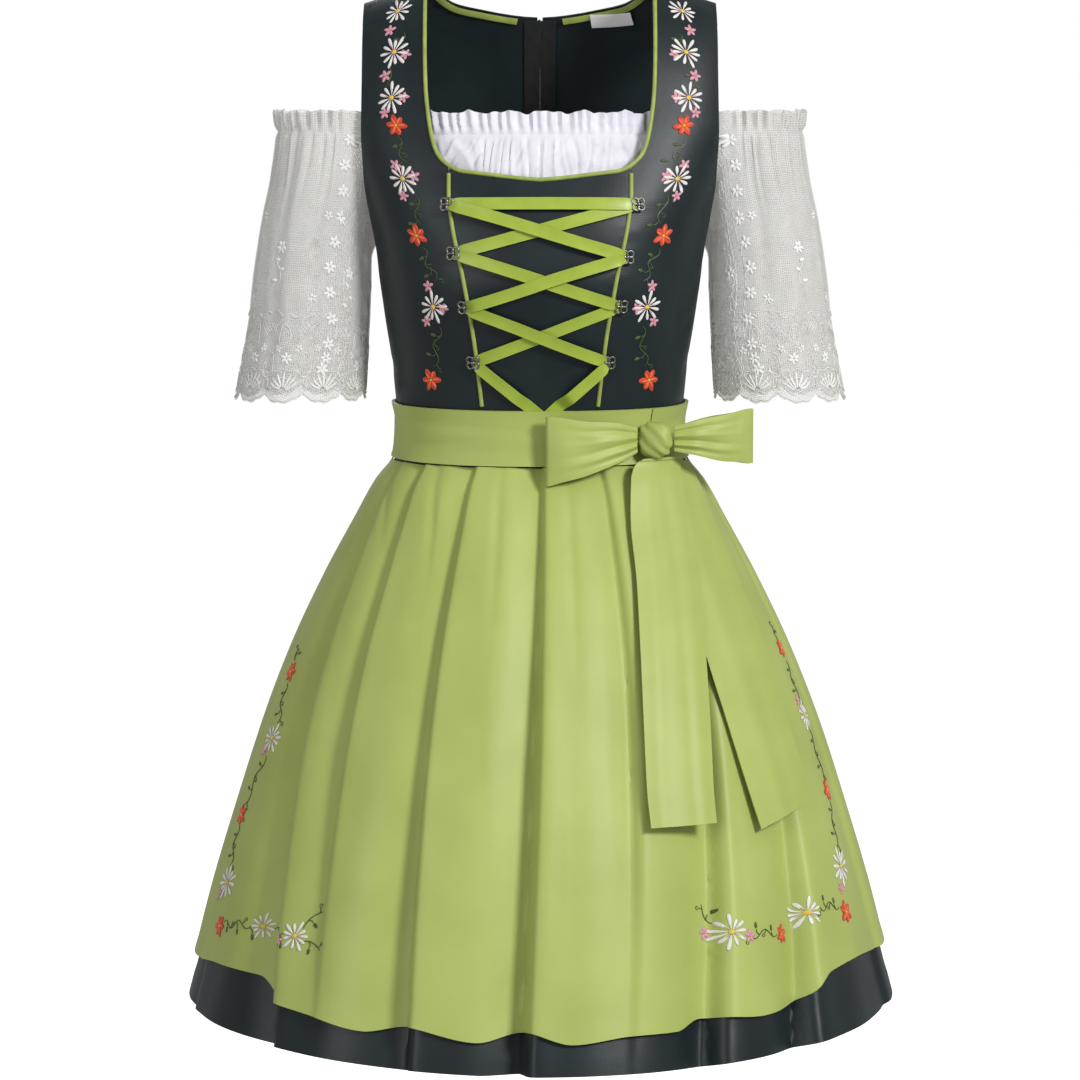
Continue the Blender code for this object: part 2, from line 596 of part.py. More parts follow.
def skirt():
    edge = math.degrees(SEAM_ANGLE)
    panels = {
        "skirt_front": (-SIDE_SEAM + edge, SIDE_SEAM - edge),
        "skirt_back_left": (-180 + edge, -SIDE_SEAM - edge),
        "skirt_back_right": (SIDE_SEAM + edge, 180 - edge),
    }
    for name, (low, high) in panels.items():
        angle, depth = skirt_grid(fold_lines(low, high), SKIRT_ROWS, hem_depth)
        body_wall(name, angle, depth, 0.0, CLOTH, "dress_satin")


def apron_panel():
    angle, depth = skirt_grid(fold_lines(-APRON_REACH, APRON_REACH), SKIRT_ROWS[APRON_FIRST_ROW:],
                              apron_hem_depth)
    out = np.interp(depth, (BAND_BOTTOM, 0.48, HEM_FRONT), (LAYER + 0.0002, 0.0040, 0.0046))
    body_wall("apron_panel", angle, depth, out, CLOTH, "apron_satin")


def band_edges(angle):
    """Top and bottom of the apron band; both dip a little at the front."""
    dip = BAND_DIP * np.maximum(np.cos(angle), 0.0)
    return BAND_TOP + dip, BAND_BOTTOM + dip


def apron_waistband():
    angle = np.radians(np.linspace(-BAND_END, BAND_END, 23))
    top, bottom = band_edges(angle)
    depth = np.stack([top, (top + bottom) / 2, bottom - 0.0005])
    grid = np.broadcast_to(angle, depth.shape)
    body_wall("apron_waistband", grid, depth, LAYER, THIN, "apron_satin", folded=False)


def apron_ties():
    """Each tie starts at an end of the band, passes the other at centre back, where both are
    drawn together to half height, and comes forward over the band to the knot."""
    runs = {
        "apron_tie_from_left": (-1, 360 - TIE_KNOT_ANGLE - 0.3, "upper"),
        "apron_tie_from_right": (1, 360 + TIE_KNOT_ANGLE - 0.3, "lower"),
    }
    for name, (way, end, half) in runs.items():
        to_the_back = np.linspace(BAND_END + 0.4, 150, 8)
        past_the_zip = np.arange(155, 206, 5)
        to_the_side = np.linspace(213, 272, 8)
        to_the_knot = np.linspace(280, end, int((end - 273) / 7.5))
        stations = np.concatenate([to_the_back, past_the_zip, to_the_side, to_the_knot])
        turn = way * stations
        from_back = stations - 180
        narrowed = 1 - fade((np.abs(from_back) - 11) / 14)
        raised = fade((from_back + 5) / 10)
        angle = np.radians(turn)
        top, bottom = band_edges(angle)
        middle = (top + bottom) / 2
        if half == "upper":
            bottom = bottom + (middle - GAP - 0.0005 - bottom) * narrowed
        else:
            top = top + (middle + GAP + 0.0005 - top) * narrowed
        depth = np.stack([top, (top + bottom) / 2, bottom])
        out = LAYER + (SECOND_LAYER - LAYER) * raised
        grid = np.broadcast_to(angle, depth.shape)
        body_wall(name, grid, depth, np.broadcast_to(out, depth.shape), THIN, "apron_satin", folded=False)


# ---------------------------------------------------------------- bow
def bow_loop(name, rows):
    """A band that runs out from the knot, turns and comes back: one wall bent into a loop."""
    front = [(row.across, row.front_y, row.top, row.bottom) for row in rows]
    back = [(row.across, row.back_y, row.top, row.bottom) for row in rows]
    outward = 1 if rows[-1].across > rows[0].across else -1
    tip = rows[-1]
    turn_x = tip.across + outward * 0.0020
    turn = (turn_x, (tip.front_y + tip.back_y) / 2, tip.top, tip.bottom)
    route = front + [turn] + back[::-1]
    line = np.array(route)
    shares = np.linspace(0, 1, 4)
    heights = line[:, 2:3] * (1 - shares) + line[:, 3:4] * shares
    crown = 0.0020 * np.sin(np.pi * shares)
    ahead = np.linspace(-1, 1, len(line))[:, None]
    x = np.broadcast_to(line[:, 0:1], heights.shape)
    y = line[:, 1:2] + np.sign(ahead) * crown
    outer = np.stack([x, y, heights], axis=-1)
    along = np.gradient(outer, axis=0)
    across = np.gradient(outer, axis=1)
    normal = unit(np.cross(along, across)) * -outward
    return wall(name, outer - normal * THIN, outer, "apron_satin")


def bow_knot():
    """A wound knot: a rounded block, a little squashed and tilted."""
    rings, around = 7, 12
    points = []
    for ring in range(1, rings):
        latitude = math.pi * ring / rings - math.pi / 2
        for step in range(around):
            turn = 2 * math.pi * step / around
            flat = [math.cos(latitude) * math.cos(turn), math.cos(latitude) * math.sin(turn),
                    math.sin(latitude)]
            points.append(np.sign(flat) * np.abs(flat) ** 0.75)
    points = [np.array(point) * np.array(KNOT_SIZE) / 2 for point in points]
    points.append(np.array((0.0, 0.0, -KNOT_SIZE[2] / 2)))
    points.append(np.array((0.0, 0.0, KNOT_SIZE[2] / 2)))
    tilt = Matrix.Rotation(math.radians(-28), 3, "Z")
    points = [Vector(KNOT_CENTRE) + tilt @ Vector(point) for point in points]
    south, north = len(points) - 2, len(points) - 1
    faces = []
    for step in range(around):
        after = (step + 1) % around
        faces.append([south, after, step])
        top = (rings - 2) * around
        faces.append([north, top + step, top + after])
        for ring in range(rings - 2):
            low, high = ring * around, (ring + 1) * around
            faces.append([low + step, low + after, high + after, high + step])
    add_object("bow_knot", points, faces, "apron_satin")


def bow_tail(name, rows, slant):
    depth_rows = np.array([row.depth for row in rows])
    left, right, out = column_curves(rows)
    share = np.linspace(0, 1, 4)
    depth = np.broadcast_to(depth_rows[:, None], (len(rows), 4)).copy()
    depth[-1] -= slant * share
    across = left(depth) * (1 - share) + right(depth) * share
    ripple = 0.0015 * np.sin(np.pi * share)
    body_wall(name, angle_at(across, depth), depth, out(depth) + ripple, THIN, "apron_satin", folded=False)


def bow():
    bow_loop("bow_loop_left", LOOP_LEFT)
    bow_loop("bow_loop_right", LOOP_RIGHT)
    bow_knot()
    bow_tail("bow_tail_front", TAIL_FRONT, 0.0)
    bow_tail("bow_tail_back", TAIL_BACK, TAIL_SLANT)


# ---------------------------------------------------------------- blouse
BLOUSE_CURVES = column_curves(BLOUSE)
SLEEVE_CURVES = column_curves(SLEEVE)


def blouse_point(angle, depth):
    x, y = ring_point(angle, *(read(depth) for read in BLOUSE_CURVES))
    return np.stack([x, y, -depth], axis=-1)


def blouse_edge_angle(depth):
    """The raglan seam runs down and back to the side seam under the arm."""
    share = np.clip((depth - BLOUSE_TOP_FRONT) / (UNDERARM - BLOUSE_TOP_FRONT), 0, 1)
    return np.radians(RAGLAN_TOP_ANGLE + (SIDE_SEAM - RAGLAN_TOP_ANGLE) * share ** 1.3)


def blouse_body():
    rows, columns = 6, 11
    for name, top, behind in (("blouse_front", BLOUSE_TOP_FRONT, False),
                              ("blouse_back", BLOUSE_TOP_BACK, True)):
        depth_rows = np.concatenate([np.linspace(top, UNDERARM, rows - 2), (0.230, BLOUSE_BOTTOM)])
        edge = blouse_edge_angle(depth_rows) - SEAM_ANGLE
        angle = share_grid(-edge, edge, columns)
        if behind:
            angle = math.pi + angle
        depth = np.broadcast_to(depth_rows[:, None], angle.shape)
        outer = blouse_point(angle, depth)
        inward = np.stack([np.sin(angle), -np.cos(angle), 0 * angle], axis=-1)
        wall(name, outer - inward * THIN, outer, "blouse_cotton")


def sleeve_ring(turn, depth):
    """Turn 0 is the arm's outer side, a quarter is its back, a half faces the body."""
    inner, outer, half_depth, roundness = (read(depth) for read in SLEEVE_CURVES)
    middle, half_width = (inner + outer) / 2, (outer - inner) / 2
    sine, cosine = np.sin(turn), np.cos(turn)
    size = (np.abs(sine) ** roundness + np.abs(cosine) ** roundness) ** (-1 / roundness)
    return np.stack([middle + half_width * size * cosine, half_depth * size * sine, -depth], axis=-1)


def sleeve_top(turn):
    """The sleeve's top edge: the neckline round the arm, then the two raglan seams."""
    share = turn / (2 * math.pi)
    neck = sleeve_ring(turn, np.full(turn.shape, SLEEVE_TOP))
    toward_body = np.clip(np.abs(share - 0.5) / (RAGLAN_SHARE / 2), 0, 1)
    depth = UNDERARM + (BLOUSE_TOP_FRONT - UNDERARM) * toward_body
    edge = blouse_edge_angle(depth)
    angle = np.where(share < 0.5, math.pi - edge - SEAM_ANGLE, edge + SEAM_ANGLE)
    seam = blouse_point(angle, depth) + np.array((0.0014, 0.0, 0.0))
    on_seam = (toward_body < 1)[:, None]
    return np.where(on_seam, seam, neck)


def blouse_sleeves():
    turn = np.linspace(0, 2 * math.pi, SLEEVE_COLUMNS, endpoint=False)
    top = sleeve_top(turn)
    shares = np.array([0.0, 0.05, 0.16, 0.34, 0.56, 0.78, 1.0])[:, None]
    scallop = 0.004 * np.cos(10 * turn)
    depth = -top[:, 2] + (SLEEVE_HEM + scallop + top[:, 2]) * shares
    ring = sleeve_ring(np.broadcast_to(turn, depth.shape), depth)
    settle = fade(shares / 0.16)[..., None]
    shift = (top - sleeve_ring(turn, -top[:, 2])) * (1, 1, 0)
    outer = ring + shift * (1 - settle)
    centre = ((outer[:, :1] + outer[:, SLEEVE_COLUMNS // 2:SLEEVE_COLUMNS // 2 + 1]) / 2)
    inward = unit((centre - outer) * (1, 1, 0))
    inner = outer + inward * THIN
    for word, side in SIDES.items():
        flip = np.array((side, 1, 1))
        order = slice(None, None, 1 if side > 0 else -1)
        wall(f"blouse_sleeve_{word}", (inner * flip)[:, order], (outer * flip)[:, order], "sleeve_lace",
             closed=True)


# ---------------------------------------------------------------- zip and label
def zip_closure():
    depth = np.array([0.0480] + BODICE_ROWS[7:] + SEAM_ROWS + SKIRT_ROWS[1:5])
    for word, side in SIDES.items():
        edges = [angle_at(side * np.full(depth.shape, x), depth, behind=True)
                 for x in (ZIP_TAPE_OUTER, ZIP_TAPE_INNER)]
        angle = np.stack(edges if side > 0 else edges[::-1], axis=1)
        grid = np.broadcast_to(depth[:, None], angle.shape)
        body_wall(f"zip_tape_{word}", angle, grid, LINING_SIDE - THIN, THIN, "zip_tape")
    angle = np.stack([angle_at(np.full(depth.shape, x), depth, behind=True)
                      for x in (ZIP_CHAIN_HALF, 1e-9)], axis=1)
    angle = np.concatenate([angle, 2 * math.pi - angle[:, :1]], axis=1)
    grid = np.broadcast_to(depth[:, None], angle.shape)
    body_wall("zip_chain", angle, grid, LINING_SIDE - THIN, ZIP_CHAIN_THICK, "zip_metal")


def slider_frame():
    """The slider's own axes: across the back, down along it, and out of it."""
    angle, root_depth = np.float64(math.pi), np.sqrt(SLIDER_DEPTH)
    out = body_normal(angle, root_depth)
    down = unit(np.cross(out, (1.0, 0.0, 0.0)))
    if down[2] > 0:
        down = -down
    return body_point(angle, root_depth), down, out


def box_at(name, centre, axes, half, material_name):
    corners = [(i, j, k) for i in (-1, 1) for j in (-1, 1) for k in (-1, 1)]
    points = [centre + sum(sign * size * axis for sign, size, axis in zip(corner, half, axes))
              for corner in corners]
    faces = [[0, 1, 3, 2], [4, 6, 7, 5], [0, 4, 5, 1], [2, 3, 7, 6], [0, 2, 6, 4], [1, 5, 7, 3]]
    return add_object(name, points, faces, material_name)


def join(name, pieces):
    """One closed body out of overlapping blocks."""
    base = pieces[0]
    for piece in pieces[1:]:
        union = base.modifiers.new("union", "BOOLEAN")
        union.operation = "UNION"
        union.solver = "EXACT"
        union.object = piece
        bpy.context.view_layer.objects.active = base
        bpy.ops.object.modifier_apply(modifier=union.name)
        bpy.data.objects.remove(piece, do_unlink=True)
    base.name = name
    base.data.name = name
    return base


def zip_slider_and_pull():
    base, down, out = slider_frame()
    across = np.array((1.0, 0.0, 0.0))
    axes = (across, down, out)
    half_width, half_length = SLIDER_HALF
    foot = base + out * (CLOTH + 2 * GAP)
    bar = SLIDER_BAR
    bridge_half_length = half_length - BRIDGE_SETBACK
    block = box_at("slider_block", foot + out * SLIDER_THICK / 2, axes,
                   (half_width, half_length, SLIDER_THICK / 2), "zip_metal")
    top = foot + out * SLIDER_THICK
    bridge_parts = [block]
    for end in (-1, 1):
        post_at = top + down * end * bridge_half_length + out * (BRIDGE_RISE / 2 - BLOCK_OVERLAP)
        post_half = (BRIDGE_HALF_WIDTH, 2 * bar, BRIDGE_RISE / 2 + BLOCK_OVERLAP)
        bridge_parts.append(box_at("post", post_at, axes, post_half, "zip_metal"))
    bridge_parts.append(box_at("bridge", top + out * BRIDGE_RISE, axes,
                               (BRIDGE_HALF_WIDTH, bridge_half_length + 2 * bar, bar), "zip_metal"))
    join("zip_slider", bridge_parts)

    axle = top + out * AXLE_RISE
    pull_parts = [box_at("axle", axle, axes, (PULL_HALF_WIDTH, bar, bar), "zip_metal")]
    for side in (-1, 1):
        reach = (PULL_HALF_WIDTH - PULL_EYE_HALF) / 2
        middle = axle + across * side * (PULL_EYE_HALF + reach) + down * PULL_EYE_LENGTH / 2
        arm_half = (reach, PULL_EYE_LENGTH / 2 + 2 * BLOCK_OVERLAP, bar * ARM_SHARE)
        pull_parts.append(box_at("arm", middle, axes, arm_half, "zip_metal"))
    tab_half = (PULL_LENGTH - PULL_EYE_LENGTH) / 2
    pull_parts.append(box_at("tab", axle + down * (PULL_EYE_LENGTH + tab_half), axes,
                             (PULL_HALF_WIDTH / ARM_SHARE, tab_half, PULL_THICK / 2), "zip_metal"))
    pull = join("zip_pull", pull_parts)
    hinge = Vector([float(v) for v in axle])
    pull.data.transform(Matrix.Translation(-hinge))
    pull.location = hinge


def neck_label():
    """Blank label sewn inside the right back neck, level with the neck's slope."""
    across, depth = np.array(LABEL).T
    angle = angle_at(across, depth, behind=True)
    strip("neck_label", angle, depth, LABEL_HEIGHT, LINING_SIDE - 3 * THIN, THIN, "label_satin")


clear_scene()
MATERIAL = {name: make_material(name) for name in MATERIALS}
bodice_front_centre()
bodice_side_panels()
neck_piping()
neck_facing_back()
princess_piping()
hooks()
laces()
skirt()
apron_panel()
apron_waistband()
apron_ties()
bow()
blouse_body()
blouse_sleeves()
zip_closure()
zip_slider_and_pull()
neck_label()
print("pieces:", len(bpy.data.objects))
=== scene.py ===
# %% [markdown]
# # A dirndl: dress, tied apron and off-shoulder blouse
# The set is worn but has no wearer, so every piece is a thin shell that keeps the hollow form of the
# body inside it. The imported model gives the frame: each cloth solid is replaced here by a finer shell
# on the same form, and the small metal parts stay or get their finished shape.

# %% Load the frame
import math
from collections import namedtuple

import bmesh
import bpy
import numpy as np
from mathutils import Matrix


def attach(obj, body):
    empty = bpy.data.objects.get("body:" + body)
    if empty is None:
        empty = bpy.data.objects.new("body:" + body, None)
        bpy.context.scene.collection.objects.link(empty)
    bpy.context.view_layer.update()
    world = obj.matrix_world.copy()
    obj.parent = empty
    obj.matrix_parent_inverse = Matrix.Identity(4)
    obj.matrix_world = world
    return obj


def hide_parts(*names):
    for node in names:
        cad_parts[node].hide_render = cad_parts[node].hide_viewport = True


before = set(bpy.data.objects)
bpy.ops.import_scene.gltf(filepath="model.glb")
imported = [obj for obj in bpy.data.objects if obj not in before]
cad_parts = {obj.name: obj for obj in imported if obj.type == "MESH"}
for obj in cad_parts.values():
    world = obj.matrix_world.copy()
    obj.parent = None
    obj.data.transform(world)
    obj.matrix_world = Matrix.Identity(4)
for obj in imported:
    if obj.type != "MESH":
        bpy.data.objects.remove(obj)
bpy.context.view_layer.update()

BODY_NAME = "dress"

# %% [markdown]
# ## Camera, light and floor
# The camera stands three metres in front at chest height, with a long lens, so the dress is seen
# almost without perspective. A white room with one large lamp at the right gives the soft light
# of a studio, and the pale floor is where a wearer's feet would be.

# %% Camera, lights and floor
CAMERA_DISTANCE = 3.0
CAMERA_HEIGHT = -0.13           # from the shoulders
AIM_HEIGHT = -0.459
LENS = 118.35
SHOULDERS_TO_FLOOR = 1.32


def deselect():
    if bpy.context.mode != "OBJECT":
        bpy.ops.object.mode_set(mode="OBJECT")
    bpy.ops.object.select_all(action="DESELECT")


def add_camera():
    deselect()
    tilt = math.atan2(CAMERA_HEIGHT - AIM_HEIGHT, CAMERA_DISTANCE)
    bpy.ops.object.camera_add(location=(0, -CAMERA_DISTANCE, CAMERA_HEIGHT),
                              rotation=(math.pi / 2 - tilt, 0, 0))
    camera = bpy.context.object
    camera.data.lens = LENS
    camera.data.clip_end = 60
    bpy.context.scene.camera = camera


def add_lamp(name, place, aim, size, watts, colour=(1, 1, 1)):
    deselect()
    bpy.ops.object.light_add(type="AREA", location=place)
    lamp = bpy.context.object
    lamp.name = name
    lamp.data.shape = "DISK"
    lamp.data.size = size
    lamp.data.energy = watts
    lamp.data.color = colour
    reach = np.array(aim, float) - np.array(place, float)
    flat = math.hypot(reach[0], reach[1])
    lamp.rotation_euler = (math.pi / 2 + math.atan2(reach[2], flat), 0,
                           math.atan2(-reach[0], reach[1]))


add_camera()
MIDDLE = (0, 0, -0.45)
add_lamp("key", (2.3, -2.7, 1.3), MIDDLE, 0.9, 118)
add_lamp("fill", (-2.2, -3.0, 0.2), MIDDLE, 1.8, 30)
add_lamp("back", (-0.6, 2.8, 1.2), MIDDLE, 2.0, 25)
world = bpy.data.worlds.new("studio") if bpy.context.scene.world is None else bpy.context.scene.world
bpy.context.scene.world = world
world.use_nodes = True
ROOM_LIGHT, ROOM_SEEN = 0.36, 1.0           # the room lights the dress less than it shows
tree = world.node_tree
seen = tree.nodes.new("ShaderNodeLightPath").outputs["Is Camera Ray"]
strength = tree.nodes.new("ShaderNodeMapRange")
strength.inputs["To Min"].default_value = ROOM_LIGHT
strength.inputs["To Max"].default_value = ROOM_SEEN
tree.links.new(seen, strength.inputs["Value"])
tree.links.new(strength.outputs["Result"], tree.nodes["Background"].inputs["Strength"])
tree.nodes["Background"].inputs["Color"].default_value = (1, 1, 1, 1)
bpy.context.scene.view_settings.view_transform = "Standard"

deselect()
bpy.ops.mesh.primitive_circle_add(vertices=96, radius=30, fill_type="NGON",
                                  location=(0, 0, -SHOULDERS_TO_FLOOR))
floor = bpy.context.object
floor.name = "floor"
floor.visible_diffuse = False     # it shows, and doesn't light the dress from below
floor.visible_glossy = False
print("camera and", 3, "lamps")

# %% [markdown]
# ## Materials
# Each cloth starts from its fibre and weave. Satin floats its threads on the face, so it is smooth,
# with a soft broad gloss and a little sheen at grazing angles; the threads themselves are about
# 0.15 mm apart and are drawn coarser here, so that they show. Fine crinkles too small for the mesh
# are bump. UV maps are in metres, so every spacing below is a real one.

# %% Helpers for materials


def linear(code):
    """An sRGB hex colour as linear values."""
    parts = [int(code[i:i + 2], 16) / 255 for i in (1, 3, 5)]
    return tuple(p / 12.92 if p <= 0.04045 else ((p + 0.055) / 1.055) ** 2.4 for p in parts) + (1.0,)


def add_node(material, kind, inputs=None, **settings):
    """Adds a node, sets its properties, and fills its sockets with values or with links."""
    made = material.node_tree.nodes.new(kind)
    for key, value in settings.items():
        setattr(made, key, value)
    for key, value in (inputs or {}).items():
        if isinstance(value, bpy.types.NodeSocket):
            material.node_tree.links.new(value, made.inputs[key])
        else:
            made.inputs[key].default_value = value
    return made


def new_material(name, roughness, **sockets):
    material = bpy.data.materials.new(name)
    material.use_nodes = True
    shader = material.node_tree.nodes["Principled BSDF"]
    shader.inputs["Roughness"].default_value = roughness
    for key, value in sockets.items():
        shader.inputs[key.replace("_", " ")].default_value = value
    return material, shader


def two_tone(material, factor, dark, light, low=0.0, high=1.0):
    """A colour that goes from dark to light as the factor goes from low to high."""
    ramp = add_node(material, "ShaderNodeValToRGB", {"Fac": factor})
    for stop, place_on_ramp, colour in zip(ramp.color_ramp.elements, (low, high), (dark, light)):
        stop.position = place_on_ramp
        stop.color = linear(colour)
    return ramp.outputs["Color"]


def link(material, output, shader, socket):
    material.node_tree.links.new(output, shader.inputs[socket])


WAVE_TURN = 0.314               # length of one wave of the Wave node at scale 1, in metres

ClothRow = namedtuple("ClothRow", "light dark roughness sheen thread crinkle cloud")
CLOTHS = {
    # cotton-polyester satin, dyed bottle green, pressed: nearly black in its folds
    "dress_satin_weave": ClothRow("#172527", "#101b1d", 0.42, 0.03, 0.0011, 0.00020, 0.060),
    # the same satin in spring green, with a brighter face and a soft lustre
    "apron_satin_weave": ClothRow("#abb864", "#a1ae5b", 0.47, 0.05, 0.0011, 0.00018, 0.075),
    # bias strips of the same green satin, wound round a cord
    "piping_bias_satin": ClothRow("#a4b45a", "#8b9b4c", 0.50, 0.10, 0.0009, 0.00010, 0.012),
    # double-face satin ribbon: long floats, so a strong gloss
    "ribbon_double_satin": ClothRow("#a4b948", "#96ab3d", 0.30, 0.06, 0.0008, 0.00012, 0.020),
    # crinkled cotton voile, white, matt
    "blouse_crinkle_voile": ClothRow("#e4e3ea", "#d9d8e0", 0.80, 0.15, 0.0012, 0.00060, 0.020),
    # woven polyester zip tape with a herringbone rib
    "zip_tape_twill": ClothRow("#1b1c1e", "#0e0f10", 0.65, 0.20, 0.0010, 0.00008, 0.010),
    # satin label stock, blank
    "label_blank_satin": ClothRow("#f4f4f3", "#e6e6e4", 0.40, 0.10, 0.0008, 0.00010, 0.010),
}


def woven_cloth(name, row):
    material, shader = new_material(name, row.roughness, Sheen_Weight=row.sheen, Sheen_Roughness=0.45,
                                    Specular_IOR_Level=0.35)
    uv = add_node(material, "ShaderNodeTexCoord").outputs["UV"]
    cloud = add_node(material, "ShaderNodeTexNoise", {"Vector": uv, "Scale": 1 / row.cloud,
                                                     "Detail": 3.0})
    colour = two_tone(material, cloud.outputs["Fac"], row.dark, row.light, 0.30, 0.70)
    thread = WAVE_TURN / row.thread
    warp = add_node(material, "ShaderNodeTexWave", {"Vector": uv, "Scale": thread}, bands_direction="X")
    weft = add_node(material, "ShaderNodeTexWave", {"Vector": uv, "Scale": thread * 0.8},
                    bands_direction="Y")
    weave = add_node(material, "ShaderNodeMath", {0: warp.outputs["Fac"], 1: weft.outputs["Fac"]},
                     operation="MULTIPLY")
    crinkle = add_node(material, "ShaderNodeTexNoise", {"Vector": uv, "Scale": 70.0, "Detail": 4.0,
                                                       "Roughness": 0.55})
    soft = add_node(material, "ShaderNodeBump", {"Height": crinkle.outputs["Fac"], "Strength": 0.8,
                                                "Distance": row.crinkle})
    fine = add_node(material, "ShaderNodeBump", {"Height": weave.outputs["Value"], "Strength": 0.5,
                                                "Distance": 0.00006, "Normal": soft.outputs["Normal"]})
    link(material, colour, shader, "Base Color")
    link(material, fine.outputs["Normal"], shader, "Normal")
    return material


FINISH = {name: woven_cloth(name, row) for name, row in CLOTHS.items()}
print("cloths:", ", ".join(FINISH))

# %% [markdown]
# The sleeves are lace on net: the net lets light through, so its material is partly clear, with
# rounded cells about 2 mm wide. Embroidery is rayon thread laid side by side, so each stitch
# shows as a fine ridge that runs the length of the petal.

# %% Net, threads and metals


NET_CELL = 0.0019


def honeycomb_net():
    """Yarn round small cells: nearly solid along the yarn and mostly clear inside a cell."""
    material, shader = new_material("sleeve_net", 0.85, Sheen_Weight=0.3)
    uv = add_node(material, "ShaderNodeTexCoord").outputs["UV"]
    cells = add_node(material, "ShaderNodeTexVoronoi", {"Vector": uv, "Scale": 1 / NET_CELL,
                                                       "Randomness": 0.35}, feature="DISTANCE_TO_EDGE")
    yarn = add_node(material, "ShaderNodeMapRange", {
        "Value": cells.outputs["Distance"], "From Min": 0.10, "From Max": 0.22, "To Min": 0.80,
        "To Max": 0.26})
    drift = add_node(material, "ShaderNodeTexNoise", {"Vector": uv, "Scale": 60.0, "Detail": 3.0})
    uneven = add_node(material, "ShaderNodeMapRange", {"Value": drift.outputs["Fac"], "From Min": 0.35,
                                                      "From Max": 0.65, "To Min": 0.82, "To Max": 1.0})
    alpha = add_node(material, "ShaderNodeMath", {
        0: yarn.outputs["Result"], 1: uneven.outputs["Result"]}, operation="MULTIPLY")
    bump = add_node(material, "ShaderNodeBump", {"Height": cells.outputs["Distance"], "Strength": 0.4,
                                                "Distance": 0.0002})
    shader.inputs["Base Color"].default_value = linear("#dddcd7")
    link(material, alpha.outputs["Value"], shader, "Alpha")
    link(material, bump.outputs["Normal"], shader, "Normal")
    return material


THREADS = {
    "thread_white": "#e9e6e2", "thread_pink": "#d995ab", "thread_red": "#cf3817",
    "thread_orange": "#ee6b2c", "thread_yellow": "#e8c53a", "thread_vine": "#3c5418",
    "thread_green": "#9dae52", "thread_dark": "#1c2927", "thread_lace": "#f7f6f3",
}


def rayon_thread(name, colour):
    """Laid thread: ridges 0.5 mm apart along each stitch, with painted shade in the grooves between them
    and a silky gloss.
    """
    gloss = 0.75 if name == "thread_lace" else 0.45
    material, shader = new_material(name, gloss, Sheen_Weight=0.2)
    uv = add_node(material, "ShaderNodeTexCoord").outputs["UV"]
    strand = add_node(material, "ShaderNodeTexWave", {"Vector": uv, "Scale": WAVE_TURN / 0.0005,
                                                     "Distortion": 0.6}, bands_direction="Y")
    # painted shade: the colour darkens to a 0.62 copy in the grooves between strands, on the same waves
    # as the bump
    groove_shade = add_node(material, "ShaderNodeMapRange", {"Value": strand.outputs["Fac"], "To Min": 0.72,
                                                    "To Max": 1.0})
    full = linear(colour)
    shaded = tuple(v * 0.62 for v in full[:3]) + (1.0,)
    mix = add_node(material, "ShaderNodeMix", {0: groove_shade.outputs["Result"], 6: shaded, 7: full},
                   data_type="RGBA")
    bump = add_node(material, "ShaderNodeBump", {"Height": strand.outputs["Fac"], "Strength": 0.5,
                                                "Distance": 0.00015})
    link(material, mix.outputs[2], shader, "Base Color")
    link(material, bump.outputs["Normal"], shader, "Normal")
    return material


def plated_metal(name, colour, worn, roughness):
    """Cast zinc with a thin plating, rubbed brighter in places."""
    material, shader = new_material(name, roughness, Metallic=0.95)
    place_on = add_node(material, "ShaderNodeTexCoord").outputs["Object"]
    rubbed = add_node(material, "ShaderNodeTexNoise", {"Vector": place_on, "Scale": 900.0,
                                                      "Detail": 3.0})
    rough = add_node(material, "ShaderNodeMapRange", {
        "Value": rubbed.outputs["Fac"], "To Min": roughness - 0.1, "To Max": roughness + 0.15})
    tone = two_tone(material, rubbed.outputs["Fac"], colour, worn, 0.35, 0.70)
    link(material, tone, shader, "Base Color")
    link(material, rough.outputs["Result"], shader, "Roughness")
    return material


FINISH["sleeve_net"] = honeycomb_net()
for thread_name, colour in THREADS.items():
    FINISH[thread_name] = rayon_thread(thread_name, colour)
FINISH["antique_nickel"] = plated_metal("antique_nickel", "#5b5a56", "#a3a29b", 0.32)
FINISH["black_lacquered_zinc"] = plated_metal("black_lacquered_zinc", "#141517", "#3a3b3e", 0.38)

floor_paint, floor_shader = new_material("floor_paint", 0.9)
grain = add_node(floor_paint, "ShaderNodeTexNoise", {"Scale": 2.0, "Detail": 2.0})
link(floor_paint, two_tone(floor_paint, grain.outputs["Fac"], "#f6f6f6", "#fafafa"), floor_shader,
     "Base Color")
floor_shader.inputs["Emission Color"].default_value = (1, 1, 1, 1)
floor_shader.inputs["Emission Strength"].default_value = 0.70
floor.data.materials.append(floor_paint)
print("finishes:", len(FINISH))

# %% [markdown]
# ## The body form
# All cloth lies on one form: a rounded oval at each depth below the shoulder line, straight through
# the shoulders, in at the waist and out into the flared skirt. A place on it is an angle round the
# body (0 at centre front, 90 degrees at the viewer's right), a depth, and a distance out. The
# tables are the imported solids' own, so the fine shells fall where those solids are.

# %% Sizes of the cloth and the body
CLOTH, THIN, SEAM_GAP = 0.0012, 0.0010, 0.0003
LAYER, SECOND_LAYER, TRIM_LIFT, LINING_SIDE = 0.0021, 0.0038, 0.0009, -0.0014
SHOULDER_SLOPE, SHOULDER_MIDDLE, SLOPE_FADE = 0.32, 0.120, 0.16
WAIST_SEAM, BAND_TOP, BAND_BOTTOM, BAND_DIP = 0.352, 0.3395, 0.3865, 0.0025
ARMHOLE_BOTTOM, SHOULDER_END = 0.213, 0.0006
HEM_FRONT, HEM_SIDE = 0.853, 0.846
APRON_REACH, BAND_END, TIE_KNOT_ANGLE = 97.0, 88.0, 45.0

